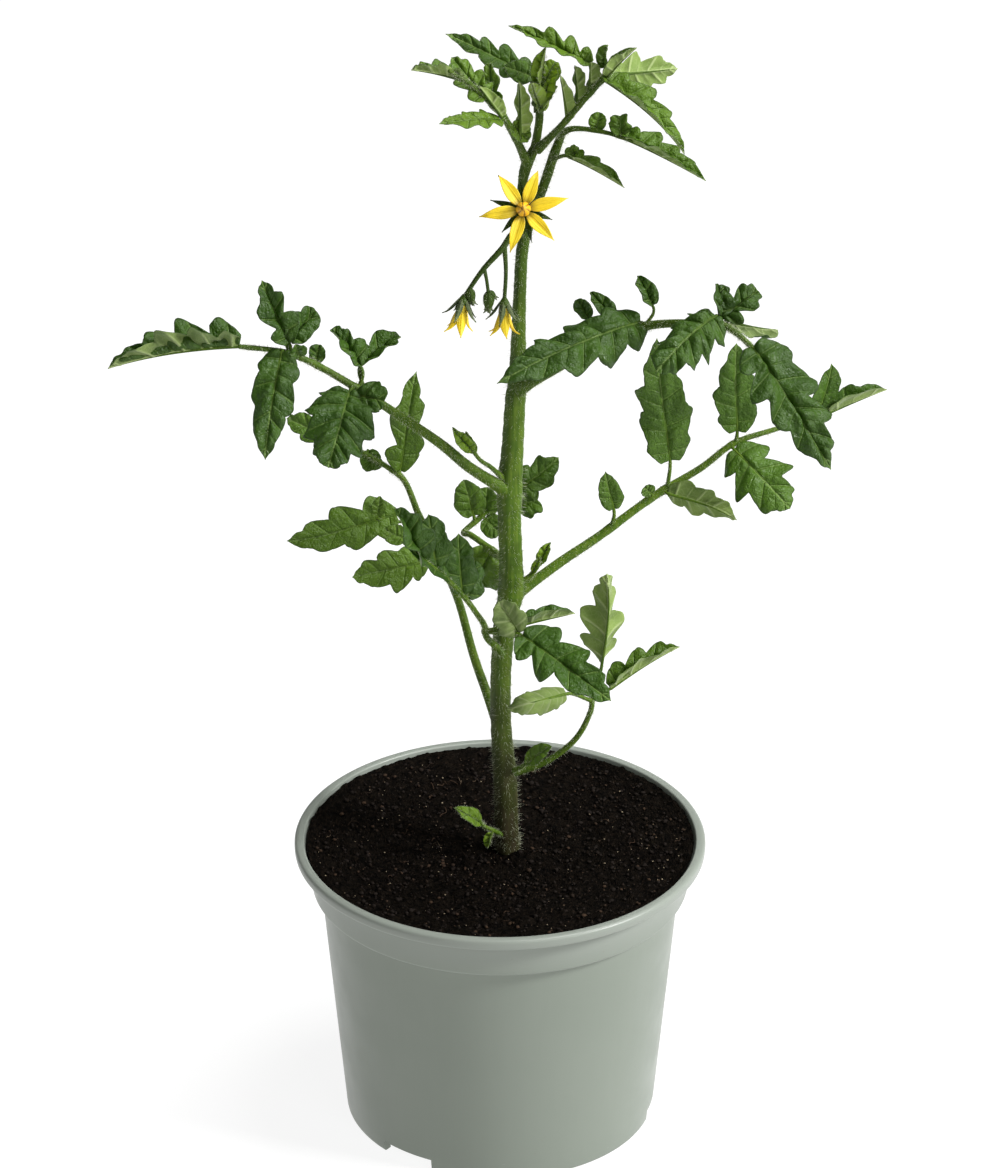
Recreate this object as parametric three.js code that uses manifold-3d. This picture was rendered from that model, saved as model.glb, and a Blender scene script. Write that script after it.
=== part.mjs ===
// A young tomato plant in a round plastic nursery pot.
// Millimetres, +Z up.  The origin is on the ground, on the pot's axis; -Y is the front.
import * as THREE from 'three';
import { mergeVertices } from 'three/addons/utils/BufferGeometryUtils.js';
import Module from 'manifold-3d';

const wasm = await Module();
wasm.setup();

// ---------------------------------------------------------------- driving dimensions

const GAP = 0.3;                    // left between two pieces that touch
const WELD = 0.008;                 // corners closer than this are one corner

const POT = {
  rimRadius: 75,                    // widest, at the rolled lip
  height: 111,
  footRadius: 56.8,
  shoulderRadius: 65.3,             // body, just under the collar
  collarLow: 93.3,
  collarRadius: 68.6,
  collarTopRadius: 70,
  collarHigh: 105.4,
  lipLow: 107,
  lipFace: [1.1, 2.5],              // the lip's upright face, above its lower edge
  lipInside: 71.4,
  lipOuterFoot: 71.3,               // where the lip springs from the collar
  lipSeat: [70.9, 108.6],           // radius and height of the inner face's bend, at the soil
  collarInside: [68.2, 105],
  rounding: 1.2,                    // taken off the lip's and the foot's corners
  step: 1.6,                        // height of the slope under the collar
  wall: 1.7,
  floor: 2.4,
  footRing: 5,                      // the floor stands this far above the ground
  sides: 44,
};
const NOTCH = { count: 3, first: -37, width: 22, height: 4.6 };
const DRAIN = { count: 5, radius: 3.2, circle: 34, sides: 12 };

const SOIL = { clearance: 0.5, surface: 105.4, dish: 3.3, unevenness: 0.8, rings: 4, sides: 28 };
const STEM_FOOT = 72;               // how low the buried stem reaches

const BLADE = { thickness: 0.7, bluntTip: 0.5 };
// The end lobe takes a share of the midrib that lessens with the number of side lobes; the
// count of lobes runs ahead of place by the power.
const LOBE = {
  endShare: 0.54, endPower: 0.72, power: 0.85, sharpness: 1.5, tip: 0.44, endTip: 0.23, shallower: 0.25,
};
const VEIN = { foot: 102, lean: 72, power: 0.6 };   // degrees off the midrib, and how they lessen
const STALK = { root: 0.8, foot: 0.6, flare: 1, shortest: 2.4 };   // radii, and lengths of the stalk
const CAP = { open: 8, hanging: 6 };   // sides of the short turned parts of a flower
const RACHIS = { sides: 5, steps: 1 };
const LAST_ROOT = 0.965;            // the end leaflet still starts inside the rachis
const STEM = { sides: 8, steps: 1 };

const COLOUR = {
  pot: '#8f988d', soil: '#1c150f', stem: '#5f7d33', leaf: '#3f6a35', youngLeaf: '#6f9440',
  truss: '#566b35', petal: '#f2c414', anther: '#e0941a',
};

// Where the stem runs, from its buried foot to the crown, and how thick it is there.
const STEM_ROUTE = [
  [3, 1, STEM_FOOT], [3, 0, 102], [2.5, 0, 114], [2, 0, 134.5], [0.5, -1, 158], [0.5, -1, 180.5],
  [2, 0, 200], [4, 0, 211], [4, 0, 224], [3.5, 0, 240], [3.5, 0, 252.5], [4.5, 0, 267.5], [5.5, 0, 287],
  [6.5, 0, 296], [6.5, 0, 310], [7, 0, 329], [8, 0, 346], [11.5, 1, 358], [15.5, 3, 368.5],
  [18.5, 4, 378], [21.5, 5, 386.5],
];
const STEM_DIAMETERS = [
  7, 8.4, 8.6, 8.6, 7.4, 7.4, 8, 9.4, 8.4, 8.2, 9.2, 7.8, 7.2, 6.8, 5.2, 4.4, 4.2, 3.4, 3.4, 3.4, 2.8,
];

// The left arm of the fork behind the open flower, up to the growing tip.
const FORK_ROUTE = [
  [8, 0, 346], [7.5, 3, 360], [8, 4, 369], [9.5, 4, 375.5], [12, 4, 381.5], [13.5, 4, 391], [13.5, 4, 398.5],
];
const FORK_DIAMETERS = [3, 3.2, 3.4, 4.2, 3, 2.8, 2.6];

// Each leaf: its rachis from the stem outwards, its thickness there and at the end, and its
// leaflets.  A leaflet leaves the rachis at a share of its length; 'faces' is the way its upper
// side looks, fold closes it along the midrib, arch bends it down and curl rolls its edges.
const LEAVES = {
  leaf_low_right: {
    rachis: [[4.5, -1, 138], [16, -4, 144], [27, -6, 154.5], [32.5, -6, 166], [33, -5, 172.5],
      [34.5, -4, 178]],
    thickness: [2.4, 1.7],
    leaflets: [
      { at: 0.72, base: [23.5, -14, 177.5], tip: [2.5, -32, 181], faces: [-0.3, -0.5, 0.2],
        width: 13, lobes: 3, cut: 0.2, fold: -25, arch: 10, curl: 25 },
      { at: 0.86, base: [40, -2, 173.5], tip: [64.5, 6, 186], faces: [-0.5, -0.3, 1],
        width: 18, lobes: 3, cut: 0.45, fold: 60, arch: 12, curl: 10 },
      { at: 0.94, base: [36.5, -3, 184], tip: [38, -2, 219.5], faces: [-0.2, 1, 0.4],
        width: 26, lobes: 3, cut: 0.52, fold: 55, arch: -35, curl: 20 },
    ],
  },
  leaf_low_left: {
    rachis: [[1, 1, 150.5], [-4.5, 8, 165.5], [-9.5, 14, 178.5], [-15, 22, 196.5], [-21.5, 28, 210],
      [-28.5, 33, 223.5], [-34, 38, 236], [-39.5, 41, 240], [-50, 46, 244.5], [-59.5, 50, 248]],
    thickness: [3.6, 1.4],
    leaflets: [
      { at: 0.72, base: [-36, 40, 240], tip: [-30, 48, 275.5], faces: [0.1, -1, 0.3],
        width: 16, lobes: 2, cut: 0.6, fold: 10, arch: 15, curl: 20 },
      { at: 0.56, base: [-37.5, 30, 227], tip: [-76.5, 22, 220.5], faces: [-0.1, -1, 0.5],
        width: 20, lobes: 3, cut: 0.45, fold: 8, arch: 10, curl: 10 },
      { at: 0.55, base: [-44, 28, 227.5], tip: [-43, 28, 235.5], faces: [0, -1, 0.4],
        width: 6, lobes: 0, cut: 0, fold: 10, arch: 5, curl: 5 },
      { at: 0.5, base: [-34.5, 26, 219.5], tip: [-41, 26, 223], faces: [0, -1, 0.4],
        width: 9, lobes: 0, cut: 0, fold: 10, arch: 5, curl: 5 },
      { at: 0.43, base: [-27, 24, 211], tip: [-53, 16, 209], faces: [0.1, -1, 0.5],
        width: 18, lobes: 3, cut: 0.39, fold: 5, arch: 10, curl: 10 },
      { at: 0.99, base: [-59.5, 50, 247.5], tip: [-77, 54, 254], faces: [-0.2, -1, 0.5],
        width: 14, lobes: 3, cut: 0.39, fold: 10, arch: 15, curl: 15 },
      { at: 0.87, base: [-47.5, 46, 245], tip: [-46, 44, 238], faces: [0, -1, 0.3],
        width: 9, lobes: 0, cut: 0, fold: 10, arch: 5, curl: 5 },
    ],
  },
  leaf_mid_left: {
    rachis: [[2.5, -2, 252.5], [-10.5, -8, 264.5], [-21, -12, 276], [-35, -16, 288.5],
      [-49, -20, 300.5], [-63, -24, 311.5], [-74.5, -27, 318], [-89.5, -29, 321]],
    thickness: [4.2, 1.6],
    leaflets: [
      { at: 1, base: [-89.5, -29, 321], tip: [-134.5, -34, 315], faces: [0.1, 0.15, 1],
        width: 26, lobes: 4, cut: 0.52, fold: 66, arch: 14, curl: 8 },
      { at: 0.83, base: [-72.5, -28, 322], tip: [-81.5, -24, 343.5], faces: [0.1, -1, 0.4],
        width: 16, lobes: 2, cut: 0.6, fold: 25, arch: -10, curl: 10 },
      { at: 0.83, base: [-72.5, -27, 322.5], tip: [-63.5, -20, 330.5], faces: [0.1, -1, 0.4],
        width: 14, lobes: 1, cut: 0.39, fold: 30, arch: 5, curl: 10 },
      { at: 0.86, base: [-75, -29, 319], tip: [-80.5, -50, 288], faces: [-0.15, -1, 0.25],
        width: 18, lobes: 3, cut: 0.26, fold: 5, arch: 25, curl: 25 },
      { at: 0.79, base: [-69, -27, 316.5], tip: [-70, -33, 323.5], faces: [0, -0.8, 0.6],
        width: 8, lobes: 0, cut: 0, fold: 10, arch: 5, curl: 5 },
      { at: 0.71, base: [-63.5, -22, 312], tip: [-62.5, -20, 317.5], faces: [0, -1, 0.3],
        width: 7, lobes: 0, cut: 0, fold: 20, arch: 5, curl: 5 },
      { at: 0.57, base: [-48.5, -18, 308.5], tip: [-58.5, -14, 320.5], faces: [0.4, -0.6, 0.8],
        width: 15, lobes: 2, cut: 0.52, fold: 50, arch: 10, curl: 20 },
      { at: 0.55, base: [-47.5, -16, 308.5], tip: [-34.5, -6, 314], faces: [-0.3, -0.6, 0.8],
        width: 15, lobes: 2, cut: 0.52, fold: 50, arch: 10, curl: 20 },
      { at: 0.58, base: [-52, -24, 301.5], tip: [-59, -48, 284], faces: [-0.05, -1, 0.4],
        width: 28, lobes: 4, cut: 0.33, fold: 0, arch: 35, curl: 30 },
      { at: 0.56, base: [-49, -25, 300.5], tip: [-40, -30, 300.5], faces: [0.1, -0.9, 0.6],
        width: 14, lobes: 1, cut: 0.26, fold: 10, arch: 15, curl: 20 },
    ],
  },
  leaf_back: {
    rachis: [[3.5, 1, 222.5], [0.5, 7, 222], [-3.5, 12, 222.5], [-10.5, 18, 225], [-13, 22, 224],
      [-8, 26, 227], [-3, 28, 231], [5.5, 30, 236]],
    thickness: [2.6, 1.6],
    leaflets: [
      { at: 0.69, base: [-9.5, 26, 229], tip: [-13, 26, 243], faces: [0, -1, 0.4],
        width: 12, lobes: 0, cut: 0, fold: 5, arch: 5, curl: 5 },
      { at: 0.8, base: [-5, 27, 229], tip: [-4.5, 27, 239.5], faces: [0, -1, 0.4],
        width: 11, lobes: 0, cut: 0, fold: 5, arch: 5, curl: 5 },
      { at: 1, base: [5.5, 30, 236], tip: [21, 32, 249], faces: [0.1, -1, 0.4],
        width: 15, lobes: 2, cut: 0.39, fold: 8, arch: 10, curl: 10 },
      { at: 0.93, base: [6.5, 30, 231], tip: [13.5, 30, 233], faces: [0.1, -1, 0.4],
        width: 14, lobes: 1, cut: 0.39, fold: 8, arch: 10, curl: 10 },
      { at: 0.75, base: [-5.5, 27, 227], tip: [0, 27, 221.5], faces: [0.1, -1, 0.4],
        width: 10, lobes: 0, cut: 0, fold: 8, arch: 10, curl: 10 },
      { at: 0.27, base: [-3, 14, 221.5], tip: [-8.5, 16, 206.5], faces: [0.1, -1, 0.4],
        width: 22, lobes: 1, cut: 0.26, fold: 8, arch: 15, curl: 10 },
    ],
  },
  leaf_mid_right: {
    rachis: [[7, -2, 292.5], [15.5, -10, 301.5], [30, -22, 316], [44.5, -33, 328.5], [55, -40, 334.5],
      [73, -50, 339], [79.5, -53, 337.5], [85.5, -56, 333]],
    thickness: [4.4, 1.7],
    leaflets: [
      { at: 0.48, base: [48, -35, 333], tip: [-1, -62, 322.5], faces: [-0.15, -0.8, 1],
        width: 25, lobes: 4, cut: 0.47, fold: -8, arch: 25, curl: 25 },
      { at: 0.34, base: [38.5, -24, 330], tip: [31, -20, 337.5], faces: [0.2, -0.8, 0.6],
        width: 8, lobes: 0, cut: 0, fold: 30, arch: 10, curl: 5 },
      { at: 0.29, base: [30.5, -22, 328.5], tip: [26, -18, 333.5], faces: [0.2, -0.8, 0.6],
        width: 7, lobes: 0, cut: 0, fold: 20, arch: 10, curl: 5 },
      { at: 0.5, base: [52, -34, 339], tip: [47, -30, 348], faces: [0.3, -0.8, 0.6],
        width: 9, lobes: 0, cut: 0, fold: 35, arch: 5, curl: 5 },
      { at: 0.7, base: [73, -50, 342], tip: [52.5, -73, 332], faces: [-0.2, -0.8, 0.9],
        width: 25, lobes: 4, cut: 0.43, fold: -20, arch: 40, curl: 30 },
      { at: 0.71, base: [74.5, -48, 341], tip: [74, -40, 349], faces: [0.5, -0.8, 0.4],
        width: 12, lobes: 1, cut: 0.52, fold: 40, arch: 5, curl: 5 },
      { at: 0.71, base: [75.5, -48, 340.5], tip: [87.5, -40, 347], faces: [-0.1, -0.7, 0.8],
        width: 16, lobes: 2, cut: 0.6, fold: 15, arch: 10, curl: 20 },
      { at: 0.74, base: [77.5, -48, 339], tip: [94.5, -44, 334], faces: [-0.1, -0.2, -1],
        width: 16, lobes: 2, cut: 0.39, fold: 20, arch: 15, curl: 20 },
      { at: 1, base: [85.5, -56, 333], tip: [112, -75, 296.5], faces: [0.3, -0.85, 0.6],
        width: 26, lobes: 4, cut: 0.45, fold: 10, arch: 30, curl: 25 },
    ],
  },
  leaf_right: {
    rachis: [[5, 1, 209], [21.5, 7, 219.5], [35.5, 12, 227.5], [54.5, 18, 240], [71.5, 22, 249.5],
      [83.5, 24, 258.5], [98, 27, 262.5], [118, 32, 267]],
    thickness: [3.8, 1.5],
    leaflets: [
      { at: 0.32, base: [40.5, 13, 238], tip: [37.5, 12, 253], faces: [0.1, -1, 0.3],
        width: 10, lobes: 1, cut: 0.13, fold: 10, arch: -10, curl: 10 },
      { at: 0.47, base: [60.5, 18, 255], tip: [55, 10, 306], faces: [0.05, -1, 0.25],
        width: 22, lobes: 4, cut: 0.29, fold: 8, arch: -15, curl: 20 },
      { at: 0.42, base: [54, 17, 242], tip: [51.5, 16, 245], faces: [0, -1, 0.3],
        width: 6, lobes: 0, cut: 0, fold: 10, arch: 5, curl: 5 },
      { at: 0.46, base: [60, 17, 242], tip: [84, 4, 238], faces: [0.2, 1, 0.15],
        width: 15, lobes: 3, cut: 0.26, fold: 20, arch: 15, curl: 20 },
      { at: 0.72, base: [84.5, 24, 263.5], tip: [83.5, 22, 298.5], faces: [0.05, -1, 0.25],
        width: 18.5, lobes: 3, cut: 0.26, fold: 6, arch: -10, curl: 15 },
      { at: 0.7, base: [83.5, 22, 257], tip: [103, 6, 241.5], faces: [0.1, -1, 0.5],
        width: 25, lobes: 3, cut: 0.55, fold: -5, arch: 25, curl: 20 },
      { at: 0.97, base: [113.5, 32, 266], tip: [118, 34, 285], faces: [0.5, -1, 0.3],
        width: 13, lobes: 1, cut: 0.39, fold: 20, arch: 10, curl: 10 },
      { at: 1, base: [118, 32, 267], tip: [138, 36, 274], faces: [0.1, -0.2, 1],
        width: 14, lobes: 1, cut: 0.39, fold: 70, arch: 5, curl: 5 },
    ],
  },
  side_shoot: {
    rachis: [[1.5, -1, 185], [-1, -7, 192.5], [-4.5, -10, 198], [-5.5, -12, 204], [-8, -16, 210.5],
      [-12.5, -21, 220], [-18.5, -26, 229.5], [-27, -32, 240.5]],
    thickness: [2.8, 1.4],
    leaflets: [
      { at: 0.99, base: [-27.5, -32, 241], tip: [-36.5, -38, 263.5], faces: [0.3, -0.7, 0.8],
        width: 20, lobes: 2, cut: 0.52, fold: 45, arch: 10, curl: 10 },
      { at: 0.85, base: [-18.5, -26, 229.5], tip: [-34.5, -34, 248.5], faces: [0.3, -0.4, 1],
        width: 12, lobes: 1, cut: 0.39, fold: 20, arch: 10, curl: 20 },
      { at: 0.92, base: [-22.5, -28, 236], tip: [-25, -24, 254], faces: [0.3, -1, 0.5],
        width: 14, lobes: 1, cut: 0.39, fold: 15, arch: 5, curl: 15 },
      { at: 0.74, base: [-13.5, -22, 222.5], tip: [-14.5, -18, 243.5], faces: [0.3, -1, 0.5],
        width: 14, lobes: 1, cut: 0.39, fold: 15, arch: 5, curl: 15 },
      { at: 0.69, base: [-11.5, -20, 219], tip: [-9, -12, 230], faces: [0.3, -1, 0.5],
        width: 13, lobes: 1, cut: 0.39, fold: 15, arch: 5, curl: 15 },
      { at: 0.36, base: [8, -21, 204.5], tip: [39, -44, 191], faces: [0.2, -0.8, 0.8],
        width: 24, lobes: 3, cut: 0.52, fold: 15, arch: 15, curl: 20 },
      { at: 0.36, base: [6.5, -19, 205], tip: [-0.5, -18, 216.5], faces: [0.2, -0.9, -0.2],
        width: 15, lobes: 2, cut: 0.26, fold: 20, arch: -20, curl: 20 },
      { at: 0.37, base: [8, -17, 207], tip: [26.5, -14, 210], faces: [0, 0.1, 1],
        width: 12, lobes: 2, cut: 0.26, fold: 60, arch: 5, curl: 10 },
    ],
  },
  leaf_top_left: {
    rachis: [[9.5, 2, 376], [5, -2, 388], [0, -6, 398.5], [-6, -9, 406], [-12, -12, 412.5],
      [-17, -14, 416.5]],
    thickness: [2.8, 1.3],
    leaflets: [
      { at: 0.81, base: [-13, -12, 412.5], tip: [-30, -14, 417], faces: [0, 0.1, 1],
        width: 12, lobes: 3, cut: 0.45, fold: 60, arch: 12, curl: 8 },
      { at: 0.55, base: [-5, -9, 404.5], tip: [-16.5, -4, 417.5], faces: [-0.1, -0.6, 0.85],
        width: 13, lobes: 3, cut: 0.55, fold: 15, arch: 10, curl: 10 },
      { at: 0.45, base: [-1.5, -7, 401.5], tip: [-3.5, -1, 414.5], faces: [-0.5, -0.8, 0.5],
        width: 10, lobes: 2, cut: 0.52, fold: 25, arch: 10, curl: 15 },
      { at: 0.35, base: [0, -9, 396.5], tip: [-20.5, -25, 402], faces: [-0.1, -0.45, 0.95],
        width: 12, lobes: 3, cut: 0.45, fold: 8, arch: 15, curl: 15 },
      { at: 0.38, base: [0.5, -8, 397.5], tip: [-7, -11, 410], faces: [0.4, 1, 0.3],
        width: 8, lobes: 0, cut: 0, fold: 30, arch: 5, curl: 10 },
      { at: 0.19, base: [7, -4, 390], tip: [6.5, 0, 407], faces: [0.5, 1, 0.1],
        width: 10, lobes: 2, cut: 0.45, fold: 35, arch: 5, curl: 10 },
      { at: 0.26, base: [4, -3, 392.5], tip: [10, -2, 386.5], faces: [-0.2, -0.8, 0.8],
        width: 8, lobes: 0, cut: 0, fold: 20, arch: 15, curl: 10 },
    ],
  },
  leaf_top_back: {
    rachis: [[13, 4, 394], [12.5, 6, 399.5], [11, 8, 405]],
    thickness: [2.2, 1.6],
    leaflets: [
      { at: 0.98, base: [11, 8, 405.5], tip: [-18.5, 10, 420.5], faces: [-0.2, -0.75, 0.8],
        width: 13, lobes: 4, cut: 0.55, fold: 15, arch: 14, curl: 10 },
      { at: 0.96, base: [10.5, 8, 406], tip: [1.5, 4, 411], faces: [-0.2, -0.9, 0.5],
        width: 9, lobes: 0, cut: 0, fold: 10, arch: 10, curl: 5 },
    ],
  },
  leaf_top_right: {
    rachis: [[13, 1, 381.5], [17.5, -3, 388], [22.5, -6, 395], [29, -9, 404.5], [35.5, -11, 413],
      [40, -12, 419]],
    thickness: [2.8, 1.4],
    leaflets: [
      { at: 0.83, base: [36.5, -12, 414], tip: [46, -15, 425.5], faces: [-0.2, 0, 1],
        width: 8.5, lobes: 0, cut: 0, fold: 55, arch: 10, curl: 5 },
      { at: 0.42, base: [23, -6, 396], tip: [20.5, -9, 413], faces: [0.9, 0.6, 0.1],
        width: 10, lobes: 1, cut: 0.39, fold: 25, arch: 5, curl: 5 },
      { at: 0.53, base: [26.5, -8, 402], tip: [25.5, -4, 414.5], faces: [0.8, 0.7, 0.1],
        width: 11, lobes: 2, cut: 0.45, fold: 25, arch: 5, curl: 5 },
      { at: 0.65, base: [30.5, -9, 407.5], tip: [31, -6, 416.5], faces: [0.8, 0.7, 0.1],
        width: 10, lobes: 1, cut: 0.39, fold: 25, arch: 5, curl: 5 },
      { at: 0.66, base: [30.5, -4, 415], tip: [3, 0, 427.5], faces: [0.1, -0.6, 0.9],
        width: 13, lobes: 4, cut: 0.52, fold: 40, arch: 14, curl: 10 },
      { at: 0.78, base: [35.5, -7, 415], tip: [36.5, -5, 422.5], faces: [-0.8, -0.6, 0.5],
        width: 7, lobes: 0, cut: 0, fold: 35, arch: 20, curl: 15 },
      { at: 0.79, base: [37.5, -9, 413], tip: [60.5, 2, 411], faces: [0.1, 1, -0.35],
        width: 16, lobes: 3, cut: 0.45, fold: 12, arch: 8, curl: 12 },
      { at: 0.78, base: [35, -11, 412.5], tip: [62.5, -24, 390.5], faces: [0.5, -0.3, 1],
        width: 17, lobes: 4, cut: 0.52, fold: 40, arch: 24, curl: 10 },
    ],
  },
  leaf_side_right: {
    rachis: [[20, 4, 385.5], [24, 1, 389], [29, -1, 390], [37.5, -5, 390], [45, -9, 389]],
    thickness: [2.2, 1.2],
    leaflets: [
      { at: 0.6, base: [33, -2, 390.5], tip: [34, -2, 396.5], faces: [-0.1, -1, 0.5],
        width: 7, lobes: 0, cut: 0, fold: 10, arch: 5, curl: 5 },
      { at: 0.88, base: [41.5, -7, 389.5], tip: [70, -20, 379], faces: [0.3, -0.15, 1],
        width: 16, lobes: 4, cut: 0.45, fold: 45, arch: 10, curl: 10 },
      { at: 0.86, base: [41.5, -7, 390.5], tip: [41, -4, 396], faces: [-0.5, -1, 0.5],
        width: 10, lobes: 1, cut: 0.39, fold: 15, arch: 5, curl: 10 },
    ],
  },
  leaf_small_right: {
    rachis: [[18, 3.5, 377], [20, -1, 379.5], [22.5, -3, 381], [26, -5, 381]],
    thickness: [1.4, 1],
    leaflets: [
      { at: 0.69, base: [23.5, -3, 380.5], tip: [42.5, -12, 373], faces: [0.3, -0.1, 1],
        width: 11, lobes: 3, cut: 0.45, fold: 45, arch: 14, curl: 10 },
      { at: 0.86, base: [25.5, -4, 382], tip: [24, -4, 384.5], faces: [-0.5, -1, 0.5],
        width: 6, lobes: 0, cut: 0, fold: 15, arch: 5, curl: 10 },
    ],
  },
  growing_tip: {
    rachis: [[13.5, 3, 397.5], [14, 2, 404], [14.5, 1, 409]],
    thickness: [3.4, 1.6],
    leaflets: [
      { at: 0.65, base: [14, 1, 406], tip: [15.5, -2, 420.5], faces: [-0.8, -0.7, 0.2],
        width: 9, lobes: 0, cut: 0, fold: 55, arch: 10, curl: 5 },
      { at: 0.24, base: [15.5, 0, 402], tip: [19, 2, 412], faces: [-0.5, -0.7, 0.5],
        width: 9, lobes: 0, cut: 0, fold: 20, arch: 15, curl: 5 },
      { at: 0, base: [14, 0, 396], tip: [11, -3, 408], faces: [0.4, 1, 0.1],
        width: 8.5, lobes: 0, cut: 0, fold: 30, arch: 5, curl: 5 },
      { at: 0, base: [14.5, 0, 396.5], tip: [19.5, 1, 405], faces: [-0.7, -0.5, 0.5],
        width: 9, lobes: 0, cut: 0, fold: 40, arch: 5, curl: 5 },
      { at: 0.8, base: [15.5, 1, 407], tip: [19, 2, 413.5], faces: [-0.1, -0.9, 0.3],
        width: 9, lobes: 0, cut: 0, fold: 10, arch: 15, curl: 5 },
    ],
  },
  shoot_left: {
    rachis: [[2, -2, 256.5], [-3, -6, 263.5], [-7, -8, 267.5], [-10, -10, 273]],
    thickness: [1.8, 1.2],
    leaflets: [
      { at: 0.96, base: [-10, -10, 272.5], tip: [-16.5, -13, 282.5], faces: [-0.3, -0.5, 0.6],
        width: 7, lobes: 0, cut: 0, fold: 40, arch: 8, curl: 10 },
      { at: 0.88, base: [-9, -9, 271], tip: [-12, -8, 278.5], faces: [-0.3, -0.5, 0.6],
        width: 5, lobes: 0, cut: 0, fold: 30, arch: 8, curl: 10 },
    ],
  },
  shoot_right: {
    rachis: [[5.5, 0, 214], [10.5, 0, 217.5], [13, 1, 220.5], [15.5, 1, 223.5]],
    thickness: [1.8, 1.2],
    leaflets: [
      { at: 0.9, base: [14.5, 1, 222.5], tip: [18, 2, 230], faces: [-0.3, -0.8, 0.5],
        width: 6, lobes: 0, cut: 0, fold: 40, arch: 8, curl: 10 },
      { at: 0.5, base: [12, 0, 219.5], tip: [14.5, -3, 226.5], faces: [-0.3, -0.8, 0.5],
        width: 4, lobes: 0, cut: 0, fold: 30, arch: 8, curl: 10 },
    ],
  },
  shoot_low: {
    rachis: [[3, -1, 138.5], [8, -6, 143.5], [11, -8, 147.5]],
    thickness: [1.6, 1.2],
    leaflets: [
      { at: 0.96, base: [11, -8, 147], tip: [18.5, -11, 154.5], faces: [-0.2, -0.6, 0.7],
        width: 8, lobes: 0, cut: 0, fold: 20, arch: 8, curl: 10 },
      { at: 0.79, base: [10, -8, 145.5], tip: [13.5, -6, 152.5], faces: [-0.2, -0.6, 0.7],
        width: 5, lobes: 0, cut: 0, fold: 30, arch: 8, curl: 10 },
    ],
  },
  sprout_foot: {
    rachis: [[3, -1, 111], [0, -4, 114.5], [-2.5, -6, 117], [-6, -8, 120], [-7.5, -9, 122.5]],
    thickness: [1.8, 1.4],
    leaflets: [
      { at: 0.97, base: [-7.5, -9, 122], tip: [-16.5, -13, 130.5], faces: [0, -0.5, 0.8],
        width: 8, lobes: 0, cut: 0, fold: 25, arch: 8, curl: 10 },
      { at: 0.5, base: [-3, -7, 116.5], tip: [-4.5, -9, 111.5], faces: [-0.5, -0.5, 0.6],
        width: 5, lobes: 0, cut: 0, fold: 45, arch: 8, curl: 10 },
    ],
  },
};

const YOUNG = ['growing_tip', 'sprout_foot', 'shoot_left', 'shoot_right', 'shoot_low'];

const OPEN_FLOWER = {
  centre: [8, -16, 366.5],
  axis: [0, -0.89, 0.46],
  disc: [[-0.4, 4.6], [0.4, 4.6]],                  // distance along the axis, diameter
  cone: [[0.4 + GAP, 4.6], [2.4, 4.8], [4.6, 3.6], [6.6, 1.4]],
  cup: [[-2.4, 1.8], [-1, 3.4], [0.4, 3.6]],
  petals: { turn: 13, tips: 6, reach: 14.5, width: 5, spread: 84, inset: 1.8 },
  calyxCentre: [8, -14.9, 366],
  sepals: { turn: 42, tips: 6, reach: 10, width: 2.2, spread: 90, lift: -0.1, inset: 1.4 },
};

const HALF_OPEN = {
  cup: [[-1.2, 1.4], [0.6, 3.4], [1.5, 3.6]],
  bell: [[1.5 + GAP, 3], [5, 3.6], [8, 2.4]],
  petals: { turn: 0, tips: 5, reach: 10, width: 3.6, spread: 16, lift: 3.2, inset: 1.4 },
  sepals: { turn: 36, tips: 5, reach: 9, width: 2, spread: 33, lift: 0.3, inset: 1.3 },
  flowers: [
    { name: 'flower_half_open_left', centre: [-12.5, -14, 332.5], axis: [-0.17, -0.14, -1] },
    { name: 'flower_half_open_right', centre: [1.5, -12, 330.5], axis: [-0.03, -0.13, -1] },
  ],
};

const TRUSS = {
  stalks: [
    { places: [[8.5, 0.5, 351], [4.5, -5, 352.6], [0.5, -9, 348.5], [-6, -12, 342], [-12.4, -14, 332.8]],
      diameters: [2.4, 2.4, 2.2, 1.8, 1.4] },
    { places: [[4.5, -5, 353], [5.5, -10, 358], [7.5, -12.6, 363.5], [8, -13.4, 365.2]],
      diameters: [1.8, 1.6, 1.4, 1.4] },
    { places: [[1.5, -8.5, 349.5], [2, -11, 341], [1.5, -12, 331]], diameters: [1.8, 1.4, 1.4] },
    { places: [[-5.5, -11.8, 343], [-4.6, -13, 338.5], [-4, -13, 333.5]], diameters: [1.4, 1.2, 1.2] },
  ],
  budOutline: [[0, 0.35], [0.35, 0.7], [0.8, 0.62], [1.35, 0.2]],   // in bud sizes
  buds: [
    { centre: [-4, -13, 334.2], axis: [0, 0, -1], size: 5.4 },
    { centre: [-3.8, -13, 334.6], axis: [0.6, 0.2, -0.8], size: 3 },
    { centre: [-10.6, -13.6, 336], axis: [0.2, -0.2, -1], size: 4.4 },
  ],
};

// ---------------------------------------------------------------- solids

function toManifold(geometry) {
  const bare = geometry.clone();
  for (const name of Object.keys(bare.attributes)) {
    if (name !== 'position') bare.deleteAttribute(name);
  }
  const merged = mergeVertices(bare, 1e-4);
  return new wasm.Manifold(new wasm.Mesh({
    numProp: 3,
    vertProperties: new Float32Array(merged.attributes.position.array),
    triVerts: new Uint32Array(merged.index.array),
  }));
}

// Corners closer than WELD become one, and the faces that this folds shut are dropped.
function weldedFaces(points, faces) {
  const alias = points.map((point, index) => {
    for (let earlier = 0; earlier < index; earlier += 1) {
      if (point.distanceToSquared(points[earlier]) < WELD * WELD) return earlier;
    }
    return index;
  });
  const kept = new Map();
  for (const face of faces) {
    const [a, b, c] = face.map((corner) => alias[alias[corner]]);
    if (a === b || b === c || c === a) continue;
    const key = [a, b, c].sort((p, q) => p - q).join(' ');
    if (kept.has(key)) {
      kept.delete(key);
    } else {
      kept.set(key, [a, b, c]);
    }
  }
  return [...kept.values()];
}

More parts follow.
